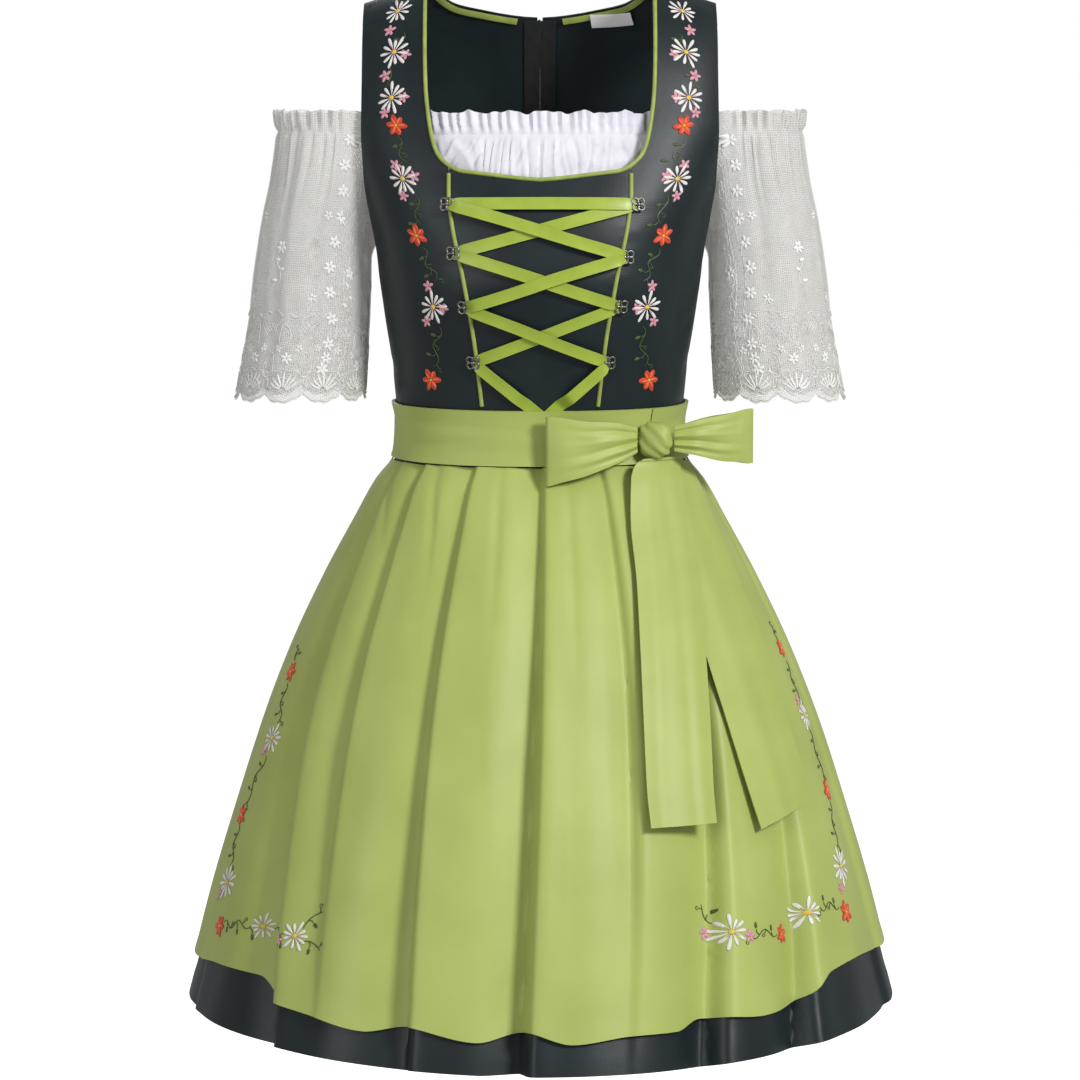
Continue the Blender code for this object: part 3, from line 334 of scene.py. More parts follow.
BodyRow = namedtuple("BodyRow", "depth half_width front back roundness")
BODY = [BodyRow(*row) for row in (
    (0.000, 0.1650, 0.0000, 0.0000, 3.0), (0.004, 0.1650, 0.0140, 0.0160, 3.0),
    (0.012, 0.1650, 0.0280, 0.0300, 3.0), (0.030, 0.1650, 0.0460, 0.0480, 3.0),
    (0.060, 0.1645, 0.0640, 0.0660, 3.0), (0.100, 0.1630, 0.0800, 0.0810, 3.0),
    (0.150, 0.1530, 0.0980, 0.0910, 2.8), (0.205, 0.1382, 0.1130, 0.0940, 2.5),
    (0.235, 0.1345, 0.1150, 0.0930, 2.4), (0.272, 0.1292, 0.1080, 0.0900, 2.4),
    (0.306, 0.1239, 0.0990, 0.0870, 2.4), (0.340, 0.1205, 0.0920, 0.0855, 2.4),
    (0.355, 0.1182, 0.0900, 0.0845, 2.4), (0.375, 0.1192, 0.0905, 0.0860, 2.3),
    (0.389, 0.1218, 0.0925, 0.0885, 2.3), (0.408, 0.1360, 0.1050, 0.1030, 2.2),
    (0.442, 0.1545, 0.1250, 0.1220, 2.1), (0.493, 0.1815, 0.1530, 0.1500, 2.0),
    (0.545, 0.2065, 0.1780, 0.1750, 2.0), (0.614, 0.2340, 0.2060, 0.2030, 2.0),
    (0.683, 0.2565, 0.2290, 0.2260, 2.0), (0.753, 0.2775, 0.2500, 0.2470, 2.0),
    (0.823, 0.2955, 0.2690, 0.2660, 2.0), (0.853, 0.3035, 0.2770, 0.2740, 2.0))]

# %% Folds of the skirt and apron
FoldRow = namedtuple("FoldRow", "waist hem deep_waist deep_middle deep_hem left right")
FOLDS = [FoldRow(*row) for row in (
    (-166, -169, 0.001, 0.007, 0.013, 6.0, 4.0), (-148, -147, 0.001, 0.009, 0.014, 7.0, 4.0),
    (-126, -124, 0.001, 0.008, 0.015, 6.0, 4.0), (-104, -101, 0.001, 0.006, 0.011, 5.0, 3.5),
    (-80, -76, 0.001, 0.002, 0.003, 5.0, 3.5), (-64, -47, 0.001, 0.007, 0.015, 6.0, 2.5),
    (-48, -37, 0.003, 0.006, 0.000, 5.0, 2.0), (-25.5, -21.5, 0.003, 0.009, 0.012, 7.0, 2.2),
    (0.5, -3.2, 0.004, 0.013, 0.016, 8.0, 2.2), (23, 13, 0.003, 0.006, 0.001, 6.0, 2.5),
    (44, 27, 0.002, 0.010, 0.014, 7.0, 3.0), (64, 46, 0.001, 0.006, 0.014, 6.0, 3.0),
    (80, 77, 0.001, 0.0015, 0.003, 5.0, 3.5), (104, 101, 0.001, 0.006, 0.011, 5.0, 3.5),
    (127, 123, 0.001, 0.009, 0.014, 6.0, 4.0), (148, 148, 0.001, 0.008, 0.013, 6.0, 4.0),
    (166, 170, 0.001, 0.008, 0.014, 6.0, 4.0))]
PLEAT_SHARPNESS = 0.40          # the pressed edge of a pleat is narrower than its solid's
PLEAT_DEPTH = 1.55

# %% Curves and places on the form


def curve(stations, values):
    """A smooth curve through the stations that doesn't overshoot between them."""
    stations, values = np.asarray(stations, float), np.asarray(values, float)
    step = np.diff(stations)
    slope = np.diff(values) / step
    product = slope[:-1] * slope[1:]
    total = np.where(product > 0, slope[:-1] + slope[1:], 1.0)
    tangent = np.concatenate(([slope[0]], np.where(product > 0, 2 * product / total, 0.0), [slope[-1]]))

    def at(where):
        where = np.clip(np.asarray(where, float), stations[0], stations[-1])
        i = np.clip(np.searchsorted(stations, where, side="right") - 1, 0, len(step) - 1)
        t = (where - stations[i]) / step[i]
        rise = values[i] * (1 + 2 * t) * (1 - t) ** 2 + values[i + 1] * t * t * (3 - 2 * t)
        return rise + step[i] * (tangent[i] * t * (1 - t) ** 2 - tangent[i + 1] * t * t * (1 - t))

    return at


def column_curves(rows, root=False):
    stations = np.array([row[0] for row in rows])
    stations = np.sqrt(stations) if root else stations
    return [curve(stations, [row[k] for row in rows]) for k in range(1, len(rows[0]))]


def fade(share):
    share = np.clip(share, 0.0, 1.0)
    return share * share * (3 - 2 * share)


def waver(x, phase=0.0):
    """A slow uneven wave between about -1 and 1, the same on every run."""
    return (np.sin(x + phase) + 0.6 * np.sin(1.71 * x + 2.3 * phase + 1.0)
            + 0.4 * np.sin(2.93 * x + 4.1 * phase + 2.0)) / 2.0


BODY_CURVES = column_curves(BODY, root=True)


def ring_point(angle, half_width, front, back, roundness):
    sine, cosine = np.sin(angle), np.cos(angle)
    size = (np.abs(sine) ** roundness + np.abs(cosine) ** roundness) ** (-1 / roundness)
    return half_width * size * sine, -np.where(cosine > 0, front, back) * size * cosine


def body_point(angle, root_depth):
    root_depth = np.abs(root_depth)
    x, y = ring_point(angle, *(read(root_depth) for read in BODY_CURVES))
    depth = root_depth ** 2
    slope = SHOULDER_SLOPE * (SHOULDER_MIDDLE - np.abs(x)) * (1 - fade(depth / SLOPE_FADE))
    return np.stack([x, y, slope - depth], axis=-1)


def unit(vectors):
    return vectors / np.maximum(np.linalg.norm(vectors, axis=-1, keepdims=True), 1e-12)


def body_normal(angle, root_depth):
    small = 1e-4
    down = body_point(angle, root_depth + small) - body_point(angle, np.maximum(root_depth - small, 0))
    across = body_point(angle + small, root_depth) - body_point(angle - small, root_depth)
    return unit(np.cross(down, across))


def fold_depth(angle, depth):
    """How far the folds draw the cloth in, with the slow waves of a flared hem between them."""
    share = np.clip((depth - BAND_BOTTOM) / (HEM_FRONT - BAND_BOTTOM), 0.0, 1.0)
    degrees = np.degrees(angle)
    total = np.zeros(np.broadcast(angle, depth).shape)
    for fold in FOLDS:
        away = degrees - (fold.waist + (fold.hem - fold.waist) * share)
        away = (away + 180) % 360 - 180
        width = np.where(away < 0, fold.left, fold.right * PLEAT_SHARPNESS)
        deep = np.interp(share, (0, 0.5, 1), (fold.deep_waist, fold.deep_middle, fold.deep_hem))
        lip = 0.12 * np.exp(-((away - 2.2 * fold.right * PLEAT_SHARPNESS) / (1.5 * fold.right)) ** 2)
        total = total + PLEAT_DEPTH * deep * (np.exp(-np.abs(away / width) ** 1.6) - lip)
    slow = 0.0022 * share * (1 + waver(degrees / 6.5 + 2.5 * share, 1.3))
    return (total + slow) * fade((depth - WAIST_SEAM) / (BAND_BOTTOM - WAIST_SEAM))


def place(angle, depth, out, folded=True):
    angle, depth = np.broadcast_arrays(np.asarray(angle, float), np.asarray(depth, float))
    root_depth = np.sqrt(np.maximum(depth, 0.0))
    drawn_in = fold_depth(angle, depth) if folded else 0.0
    lift = np.asarray(out - drawn_in)[..., None]
    return body_point(angle, root_depth) + body_normal(angle, root_depth) * lift


def angle_at(across, depth, behind=False):
    """The angle at which the form has this distance from the middle plane."""
    half_width, _, _, roundness = (read(np.sqrt(depth)) for read in BODY_CURVES)
    share = np.clip(np.abs(across) / half_width, 0.0, 1.0)
    other = np.maximum(1 - share ** roundness, 0.0) ** (1 / roundness)
    return np.sign(across) * np.arctan2(share, -other if behind else other)


print("waist round the form:", round(float(np.sum(np.linalg.norm(np.diff(
    body_point(np.linspace(0, 2 * np.pi, 181), np.sqrt(WAIST_SEAM)), axis=0), axis=1))), 3), "m")

# %% [markdown]
# ## Shells of cloth
# A panel starts as a grid primitive, whose vertices are laid on the form and given the panel's
# creases; the grid's UV map is scaled to metres, so the weave keeps its size. Solidify then gives it
# its thickness. A crease is a soft ridge or trough with a place, a length, a width and a turn.

# %% Helpers for panels
CreaseRow = namedtuple("CreaseRow", "angle depth length width turn height")
DRESS_CLOTH = ("dress_satin_weave", "dress_satin")          # a finish and the slot it belongs to
APRON_CLOTH = ("apron_satin_weave", "apron_satin")
BLOUSE_CLOTH = ("blouse_crinkle_voile", "blouse_cotton")
PIPING_CLOTH = ("piping_bias_satin", "piping_green")


def creases(angle, depth, rows):
    """The sum of all creases at each place: angle in radians, sizes in metres, turn from level."""
    total = np.zeros(np.broadcast(angle, depth).shape)
    reach = BODY_CURVES[0](np.sqrt(np.maximum(depth, 0)))
    for row in rows:
        across = (angle - math.radians(row.angle)) * reach
        down = depth - row.depth
        turn = math.radians(row.turn)
        along = across * math.cos(turn) + down * math.sin(turn)
        aside = down * math.cos(turn) - across * math.sin(turn)
        total = total + row.height * np.exp(-(along / row.length) ** 2 - (aside / row.width) ** 2)
    return total


def finish_piece(piece, name, finish, slot, nodes=()):
    """The name and finish that every piece on the dress needs; it hides the imported solids the piece
    replaces and attaches it to the body.
    """
    piece.name = name
    piece.data.name = name
    piece.data.materials.clear()
    for each in ([finish] if isinstance(finish, str) else finish):
        piece.data.materials.append(FINISH[each])
    if nodes:
        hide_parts(*nodes)
    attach(piece, BODY_NAME)


def grid_shell(surface, columns, rows, size, thick, closed=False):
    """A grid laid by surface(across, down), both 0 to 1, with its UV map in metres, made solid."""
    deselect()
    bpy.ops.mesh.primitive_grid_add(x_subdivisions=columns, y_subdivisions=rows, size=1, calc_uvs=True)
    piece = bpy.context.object
    mesh = piece.data
    flat = np.empty(len(mesh.vertices) * 3)
    mesh.vertices.foreach_get("co", flat)
    flat = flat.reshape(-1, 3)
    across, down = flat[:, 0] + 0.5, 0.5 - flat[:, 1]
    points = surface(across, down)
    mesh.vertices.foreach_set("co", np.asarray(points, float).ravel())
    layer = mesh.uv_layers.active.data
    uv = np.empty(len(layer) * 2)
    layer.foreach_get("uv", uv)
    uv = uv.reshape(-1, 2) * size
    layer.foreach_set("uv", uv.ravel())
    if closed:
        bpy.ops.object.mode_set(mode="EDIT")
        bpy.ops.mesh.select_all(action="SELECT")
        bpy.ops.mesh.remove_doubles(threshold=1e-5)
        bpy.ops.object.mode_set(mode="OBJECT")
    mesh.update()
    solid = piece.modifiers.new("thickness", "SOLIDIFY")
    solid.thickness = thick
    solid.offset = -1
    bpy.ops.object.modifier_apply(modifier=solid.name)
    bpy.ops.object.shade_smooth_by_angle(angle=math.radians(50))
    return piece


def sheet_piece(name, surface, columns, rows, size, thick, finish, slot, nodes, area, held,
                rests_on=(), closed=False):
    piece = grid_shell(surface, columns, rows, size, thick, closed)
    finish_piece(piece, name, finish, slot, nodes)
    covered = sum(face.area for face in piece.data.polygons) / 2
    print(f"{name}: {len(piece.data.polygons)} faces, {covered:.4f} m2 of cloth, cut {area:.4f} m2")
    return piece


# %% [markdown]
# ## Skirt
# Three gored panels hang from the waist seam: one in front, two behind with the zip between them. The
# pleats are pressed at the top and open into soft flutes. A pleat is built as a trough that slopes
# gently on one side and steps up sharply on the other, where its pressed edge lies.

# %% Skirt panels
HEM_BAND = 0.020                # turned up and stitched
HEM_RIDGE = 0.0005


def hem_depth(angle):
    return HEM_FRONT + (HEM_SIDE - HEM_FRONT) * np.sin(angle) ** 2


AngleRow = namedtuple("AngleRow", "angle depth")
APRON_HEM = [AngleRow(*row) for row in (
    (-97, 0.814), (-80, 0.809), (-66, 0.801), (-54, 0.799), (-49, 0.814), (-38, 0.820), (-29, 0.826),
    (-22, 0.819), (-10, 0.828), (-3, 0.819), (5, 0.829), (14, 0.824), (22, 0.823), (27, 0.815),
    (37, 0.819), (47, 0.814), (54, 0.797), (64, 0.794), (80, 0.800), (97, 0.803))]
APRON_HEM_CURVE = curve(*zip(*APRON_HEM))


def apron_hem_depth(angle):
    """The pleats lift the hem unevenly, most where one turns under."""
    return APRON_HEM_CURVE(np.degrees(angle))


def hem_step(depth, hem, band, height):
    """The turned-up hem is thicker, and its row of stitches pulls a groove above it."""
    above = hem - band - depth
    groove = -1.2 * height * np.exp(-(above / 0.0016) ** 2)
    return height * fade(-above / 0.003) + groove


def skirt_surface(angle, depth, lift=0.0):
    hem = hem_depth(angle)
    return place(angle, depth, CLOTH + hem_step(depth, hem, HEM_BAND, HEM_RIDGE) + lift)


def skirt_panel(low, high):
    def surface(across, down):
        angle = np.radians(low + (high - low) * across)
        top = WAIST_SEAM + SEAM_GAP
        return skirt_surface(angle, top + (hem_depth(angle) - top) * down)
    return surface


SkirtRow = namedtuple("SkirtRow", "name low high columns size area")
for row in (SkirtRow("skirt_front", -90.0, 90.0, 270, (0.93, 0.50), 0.345),
            SkirtRow("skirt_back_left", -180.0, -90.0, 135, (0.47, 0.50), 0.172),
            SkirtRow("skirt_back_right", 90.0, 180.0, 135, (0.47, 0.50), 0.172)):
    sheet_piece(row.name + "_cloth", skirt_panel(row.low, row.high), row.columns, 62, row.size, CLOTH,
                *DRESS_CLOTH, [row.name], row.area, "gathered")

# %% [markdown]
# ## Bodice
# Five shaped panels: the centre front between the two princess seams, and sides and backs that run on
# over the shoulder as straps. Lacing and bust pull short creases into the cloth beside the hooks and
# under the arms, and the princess seams pucker a little between stitches.

# %% Bodice tables
EdgeRow = namedtuple("EdgeRow", "depth across")
FRONT_EDGE = [EdgeRow(*row) for row in (
    (0.000, 0.0932), (0.053, 0.0928), (0.083, 0.0918), (0.107, 0.0891), (0.127, 0.0848), (0.138, 0.0795),
    (0.1445, 0.0741), (0.165, 0.0740), (0.188, 0.0714), (0.235, 0.0618), (0.287, 0.0532),
    (0.352, 0.0460))]
BACK_EDGE = [EdgeRow(*row) for row in (
    (0.000, 0.0932), (0.019, 0.0750), (0.035, 0.0410), (0.044, 0.0150), (0.0475, 0.0018),
    (0.352, 0.0018))]
NECK_CORNER = 0.0741
NECKLINE = [(0.000, 0.1525), (0.0162, 0.1512), (0.0438, 0.1480), (0.0741, 0.1445)]
ARMHOLE = [(0.000, 53.0, 53.0), (0.050, 53.3, 53.0), (0.100, 54.5, 53.5), (0.130, 58.5, 56.5),
           (0.160, 65.5, 63.0), (0.185, 74.0, 72.0), (0.200, 81.5, 80.0), (ARMHOLE_BOTTOM, 90.0, 90.0),
           (WAIST_SEAM, 90.0, 90.0)]
FRONT_SEAM, BACK_SEAM, NECK_LEVEL = (curve(*zip(*line)) for line in (FRONT_EDGE, BACK_EDGE, NECKLINE))
ARM_FRONT, ARM_BACK = column_curves(ARMHOLE)

BODICE_CREASES = [CreaseRow(*row) for row in (
    (-31, 0.180, 0.020, 0.0030, 12, -0.0006), (31, 0.182, 0.022, 0.0030, -10, -0.0006),
    (-25, 0.222, 0.022, 0.0032, 16, -0.0007), (25, 0.226, 0.020, 0.0030, -14, -0.0007),
    (-21, 0.262, 0.018, 0.0030, 18, -0.0006), (20, 0.262, 0.018, 0.0030, -16, -0.0006),
    (-14, 0.306, 0.016, 0.0032, 24, -0.0006), (14, 0.306, 0.017, 0.0032, -22, -0.0006),
    (0, 0.196, 0.030, 0.0090, 2, 0.0005), (3, 0.285, 0.024, 0.0080, -6, 0.0005),
    (-72, 0.235, 0.030, 0.0060, 32, -0.0012), (72, 0.238, 0.028, 0.0060, -30, -0.0012),
    (-66, 0.268, 0.026, 0.0055, 24, -0.0010), (66, 0.272, 0.028, 0.0055, -26, -0.0010),
    (-78, 0.312, 0.028, 0.0050, 12, -0.0012), (77, 0.308, 0.026, 0.0050, -14, -0.0012),
    (-58, 0.318, 0.024, 0.0060, 5, -0.0008), (56, 0.322, 0.022, 0.0060, -8, -0.0008),
    (-104, 0.246, 0.030, 0.0060, -28, -0.0012), (104, 0.250, 0.030, 0.0060, 28, -0.0012),
    (-122, 0.300, 0.034, 0.0060, -14, -0.0013), (120, 0.296, 0.032, 0.0060, 16, -0.0013),
    (-146, 0.262, 0.030, 0.0060, -20, -0.0011), (148, 0.270, 0.030, 0.0060, 18, -0.0011),
    (-160, 0.322, 0.026, 0.0050, -8, -0.0012), (161, 0.316, 0.026, 0.0050, 10, -0.0012),
    (-150, 0.150, 0.040, 0.0080, 30, -0.0010), (150, 0.156, 0.040, 0.0080, -32, -0.0010))]


def bodice_out(angle, depth):
    """Thickness, creases and the seams' pucker, all between the solid's faces and the trimmings."""
    out = CLOTH + creases(angle, depth, BODICE_CREASES)
    across = np.abs(BODY_CURVES[0](np.sqrt(np.maximum(depth, 1e-6))) * np.sin(angle))
    beside = np.exp(-((across - FRONT_SEAM(depth)) / 0.006) ** 2) * (np.cos(angle) > 0) * (depth > 0.15)
    pucker = 0.00035 * np.sin(depth * 2 * np.pi / 0.0085 + 2 * np.sin(depth * 60))
    slow = 0.0003 * (waver(np.degrees(angle) / 7 + depth * 14, 0.7) - 1)
    return out + pucker * beside + slow * (depth > 0.02)


def bodice_surface(angle, depth, lift=0.0):
    return place(angle, depth, bodice_out(angle, depth) + lift, folded=False)


# %% Bodice panels


def centre_panel(across, down):
    share = 2 * across - 1
    upper = NECK_LEVEL(np.abs(share) * NECK_CORNER)
    depth = upper + (WAIST_SEAM - SEAM_GAP - upper) * down
    return bodice_surface(angle_at(share * (FRONT_SEAM(depth) - SEAM_GAP / 2), depth), depth)


def side_panel(side, behind):
    def surface(across, down):
        root = SHOULDER_END + (math.sqrt(WAIST_SEAM - SEAM_GAP) - SHOULDER_END) * down
        depth = root ** 2
        share = across if side > 0 else 1 - across
        edge = (BACK_SEAM if behind else FRONT_SEAM)(depth) + SEAM_GAP / 2
        inner = angle_at(edge, depth, behind)
        arm = np.radians((ARM_BACK if behind else ARM_FRONT)(depth))
        low, high = (math.pi - arm, inner) if behind else (inner, arm)
        return bodice_surface(side * (low + (high - low) * share), depth)
    return surface


sheet_piece("bodice_front_centre_cloth", centre_panel, 56, 70, (0.15, 0.21), CLOTH,
            *DRESS_CLOTH, ["bodice_front_centre"], 0.0256, "stretched")
for word, side in (("left", -1), ("right", 1)):
    for part, behind, size, area, columns in (("front", False, (0.165, 0.37), 0.0373, 44),
                                              ("back", True, (0.20, 0.37), 0.0597, 56)):
        sheet_piece(f"bodice_{part}_{word}_cloth", side_panel(side, behind), columns, 104, size, CLOTH,
                    *DRESS_CLOTH, [f"bodice_{part}_{word}"], area, "stretched")

# %% [markdown]
# ## Apron
# One wide panel pleated into a band. It lies on the skirt and shares its pleats, and its hem is
# turned up 9 mm and stitched, which pulls a faint groove. The creases here are the ones that hang
# from the band between the pleats.

# %% Apron panel
APRON_HEM_BAND = 0.009
APRON_CREASES = [CreaseRow(*row) for row in (
    (-60, 0.415, 0.040, 0.0035, 62, -0.0014), (-36, 0.425, 0.050, 0.0040, 74, -0.0016),
    (-30, 0.470, 0.070, 0.0060, 82, 0.0010), (-13, 0.440, 0.060, 0.0045, 86, -0.0014),
    (-9, 0.560, 0.120, 0.0080, 88, 0.0010), (9, 0.450, 0.070, 0.0050, 92, -0.0014),
    (15, 0.590, 0.110, 0.0080, 94, 0.0010), (33, 0.430, 0.050, 0.0040, 102, -0.0015),
    (54, 0.420, 0.045, 0.0040, 112, -0.0015), (60, 0.520, 0.080, 0.0080, 104, 0.0010),
    (-55, 0.560, 0.090, 0.0080, 74, 0.0010), (-20, 0.640, 0.090, 0.0100, 84, -0.0010),
    (3, 0.700, 0.080, 0.0090, 92, 0.0008), (38, 0.680, 0.090, 0.0090, 98, -0.0010))]


def apron_out(angle, depth):
    base = np.interp(depth, (BAND_BOTTOM, 0.48, HEM_FRONT), (LAYER + 0.0002, 0.0040, 0.0046)) + CLOTH
    soft = np.minimum(creases(angle, depth, APRON_CREASES), 0.0004)
    return base + soft + hem_step(depth, apron_hem_depth(angle), APRON_HEM_BAND, 0.0004)


def apron_surface(angle, depth, lift=0.0):
    return place(angle, depth, apron_out(angle, depth) + lift)


def apron_grid(across, down):
    angle = np.radians(APRON_REACH * (2 * across - 1))
    top = BAND_BOTTOM + 0.003
    return apron_surface(angle, top + (apron_hem_depth(angle) - top) * down)


sheet_piece("apron_panel_cloth", apron_grid, 380, 68, (0.92, 0.44), CLOTH,
            *APRON_CLOTH, ["apron_panel"], 0.333, "gathered", rests_on=["skirt_front_cloth"])

# %% [markdown]
# The band is a straight strip round the waist. The two ties start at its ends, pass one another at
# centre back, where both are drawn to half their height, and come forward over the band to the bow.
# Pulled cloth shows long shallow creases that run along it and fan out towards the knot.

# %% Band and ties
BAND_CREASES = [CreaseRow(*row) for row in (
    (-70, 0.352, 0.050, 0.0030, 3, -0.0006), (-52, 0.372, 0.045, 0.0030, -3, -0.0007),
    (-30, 0.356, 0.050, 0.0028, 4, -0.0006), (-22, 0.377, 0.040, 0.0026, -5, -0.0006),
    (6, 0.364, 0.040, 0.0030, 7, -0.0008), (14, 0.378, 0.030, 0.0026, -12, -0.0008),
    (27, 0.360, 0.026, 0.0028, 12, -0.0009), (31, 0.374, 0.020, 0.0024, -14, -0.0009),
    (58, 0.354, 0.024, 0.0026, -10, -0.0009), (63, 0.372, 0.026, 0.0026, 8, -0.0008),
    (84, 0.362, 0.040, 0.0028, 3, -0.0007), (112, 0.356, 0.040, 0.0030, -4, -0.0007),
    (140, 0.368, 0.040, 0.0030, 6, -0.0008), (-112, 0.368, 0.040, 0.0030, 4, -0.0007),
    (-142, 0.358, 0.040, 0.0030, -6, -0.0008), (168, 0.358, 0.030, 0.0024, 8, -0.0009),
    (-168, 0.366, 0.030, 0.0024, -8, -0.0009))]


def band_edges(angle):
    dip = BAND_DIP * np.maximum(np.cos(angle), 0.0)
    return BAND_TOP + dip, BAND_BOTTOM + dip


def band_shape(angle, down, top, bottom, out):
    """Cloth of the band: creases, and edges where the seam allowance makes it firmer."""
    depth = top + (bottom - top) * down
    turned = (angle + np.pi) % (2 * np.pi) - np.pi
    edge = 0.0003 * (np.exp(-(down / 0.06) ** 2) + np.exp(-((1 - down) / 0.06) ** 2))
    lengthwise = 0.0003 * waver(np.degrees(angle) / 16 + 5 * down, 0.4) * np.sin(np.pi * down)
    lift = creases(turned, depth, BAND_CREASES) + edge + lengthwise
    return place(angle, depth, out + THIN + lift, folded=False)


def band_grid(across, down):
    angle = np.radians(BAND_END * (2 * across - 1))
    top, bottom = band_edges(angle)
    return band_shape(angle, down, top, bottom - 0.0005, LAYER)


sheet_piece("apron_waistband_cloth", band_grid, 190, 14, (0.345, 0.047), THIN,
            *APRON_CLOTH, ["apron_waistband"], 0.0161, "stretched", rests_on=["skirt_front_cloth"])


def tie_grid(way, end, half):
    def surface(across, down):
        share = across if way > 0 else 1 - across
        station = BAND_END + 0.4 + (end - BAND_END - 0.4) * share
        from_back = station - 180
        narrowed = 1 - fade((np.abs(from_back) - 11) / 14)
        raised = fade((from_back + 5) / 10)
        angle = np.radians(way * station)
        top, bottom = band_edges(angle)
        middle = (top + bottom) / 2
        if half == "upper":
            bottom = bottom + (middle - SEAM_GAP - 0.0005 - bottom) * narrowed
        else:
            top = top + (middle + SEAM_GAP + 0.0005 - top) * narrowed
        gathered = 0.0008 * narrowed * np.sin(down * 3 * np.pi) * np.cos(np.radians(from_back) * 2)
        return band_shape(angle, down, top, bottom, LAYER + (SECOND_LAYER - LAYER) * raised + gathered)
    return surface


sheet_piece("apron_tie_from_left_cloth", tie_grid(-1, 360 - TIE_KNOT_ANGLE - 0.3, "upper"), 200, 12,
            (0.44, 0.047), THIN, *APRON_CLOTH, ["apron_tie_from_left"], 0.0183,
            "stretched", rests_on=["apron_waistband_cloth"])
sheet_piece("apron_tie_from_right_cloth", tie_grid(1, 360 + TIE_KNOT_ANGLE - 0.3, "lower"), 270, 12,
            (0.62, 0.047), THIN, *APRON_CLOTH, ["apron_tie_from_right"], 0.0273,
            "stretched", rests_on=["apron_waistband_cloth"])

# %% [markdown]
# ## Bow
# Each loop is one strip that runs out from the knot, turns and comes back. It is gathered at the knot,
# so creases fan out from there and die away towards the turn. The knot is the tie wound once round
# itself, and the two tails hang from behind it over the apron.

# %% Bow tables
LoopRow = namedtuple("LoopRow", "across top bottom front_y back_y")
LOOP_LEFT = [LoopRow(*row) for row in (
    (0.0800, -0.3560, -0.3770, -0.0905, -0.0870), (0.0640, -0.3520, -0.3850, -0.1010, -0.0940),
    (0.0420, -0.3495, -0.3925, -0.1090, -0.1005), (0.0200, -0.3475, -0.3995, -0.1120, -0.1030),
    (0.0065, -0.3470, -0.4040, -0.1105, -0.1050))]
LOOP_RIGHT = [LoopRow(*row) for row in (
    (0.1105, -0.3555, -0.3760, -0.0860, -0.0825), (0.1250, -0.3520, -0.3790, -0.0860, -0.0775),
    (0.1450, -0.3475, -0.3835, -0.0790, -0.0700), (0.1630, -0.3445, -0.3865, -0.0700, -0.0610),
    (0.1750, -0.3435, -0.3890, -0.0630, -0.0580))]
KNOT_CENTRE, KNOT_SIZE, KNOT_TURN = (0.0945, -0.0870, -0.3665), (0.0290, 0.0180, 0.0300), -28
FanRow = namedtuple("FanRow", "height spread width reach")
LOOP_FANS = [FanRow(*row) for row in (    # where on the knot a crease starts, and how it opens
    (0.22, -0.06, 0.050, -0.0022), (0.40, 0.04, 0.045, 0.0016), (0.55, 0.10, 0.055, -0.0026),
    (0.72, 0.06, 0.045, 0.0016), (0.86, -0.02, 0.045, -0.0018))]
TailRow = namedtuple("TailRow", "depth left right out")
TAIL_FRONT = [TailRow(*row) for row in (
    (0.3860, 0.0760, 0.1040, 0.0190), (0.4080, 0.0700, 0.1090, 0.0135), (0.4350, 0.0705, 0.1170, 0.0105),
    (0.4800, 0.0745, 0.1235, 0.0095), (0.5400, 0.0770, 0.1275, 0.0095), (0.6000, 0.0795, 0.1310, 0.0095),
    (0.6400, 0.0812, 0.1325, 0.0100), (0.6690, 0.0840, 0.1345, 0.0105))]
TAIL_BACK = [TailRow(*row) for row in (
    (0.3900, 0.0880, 0.1080, 0.0130), (0.4080, 0.0920, 0.1240, 0.0095), (0.4350, 0.0990, 0.1370, 0.0070),
    (0.4800, 0.1120, 0.1560, 0.0062), (0.5400, 0.1290, 0.1780, 0.0062), (0.6000, 0.1480, 0.1965, 0.0062),
    (0.6400, 0.1600, 0.2075, 0.0070), (0.6780, 0.1715, 0.2140, 0.0080))]
TAIL_SLANT = 0.014

# %% Loops, knot and tails


def loop_grid(rows):
    outward = 1 if rows[-1].across > rows[0].across else -1
    tip = rows[-1]
    turn = (tip.across + outward * 0.0020, (tip.front_y + tip.back_y) / 2, tip.top, tip.bottom)
    route = [(r.across, r.front_y, r.top, r.bottom) for r in rows] + [turn]
    route += [(r.across, r.back_y, r.top, r.bottom) for r in reversed(rows)]
    lengths = np.cumsum([0] + [math.dist(a[:2], b[:2]) for a, b in zip(route, route[1:])])
    readers = [curve(lengths / lengths[-1], [r[k] for r in route]) for k in range(4)]
    front_is_first = outward > 0

    def surface(across, down):
        share = across if front_is_first else 1 - across
        x, y, top, bottom = (read(share) for read in readers)
        from_knot = np.abs(share - 0.5) * 2
        side = np.where(share < 0.5, -1.0, 1.0) * np.minimum(np.abs(share - 0.5) * 12, 1)
        fans = sum(fan.reach * np.exp(
            -((down - fan.height - fan.spread * (1 - from_knot)) / fan.width) ** 2)
            for fan in LOOP_FANS) * fade(from_knot * 1.15)
        crown = 0.0020 * np.sin(np.pi * down)
        slack = 0.0010 * waver(share * 9 + down * 3, 0.9) * np.sin(np.pi * down)
        wave = 0.0012 * np.sin(share * 17) * (1 - from_knot)
        z = top + (bottom - top) * down + wave
        bulge = side * (crown + slack)
        return np.stack([x, y + bulge - np.where(share < 0.5, 1, -1) * fans * 0.8, z], -1)
    return surface


sheet_piece("bow_loop_left_cloth", loop_grid(LOOP_LEFT), 100, 30, (0.155, 0.047), THIN,
            *APRON_CLOTH, ["bow_loop_left"], 0.0070, "folded")
sheet_piece("bow_loop_right_cloth", loop_grid(LOOP_RIGHT), 92, 30, (0.140, 0.042), THIN,
            *APRON_CLOTH, ["bow_loop_right"], 0.0053, "folded")


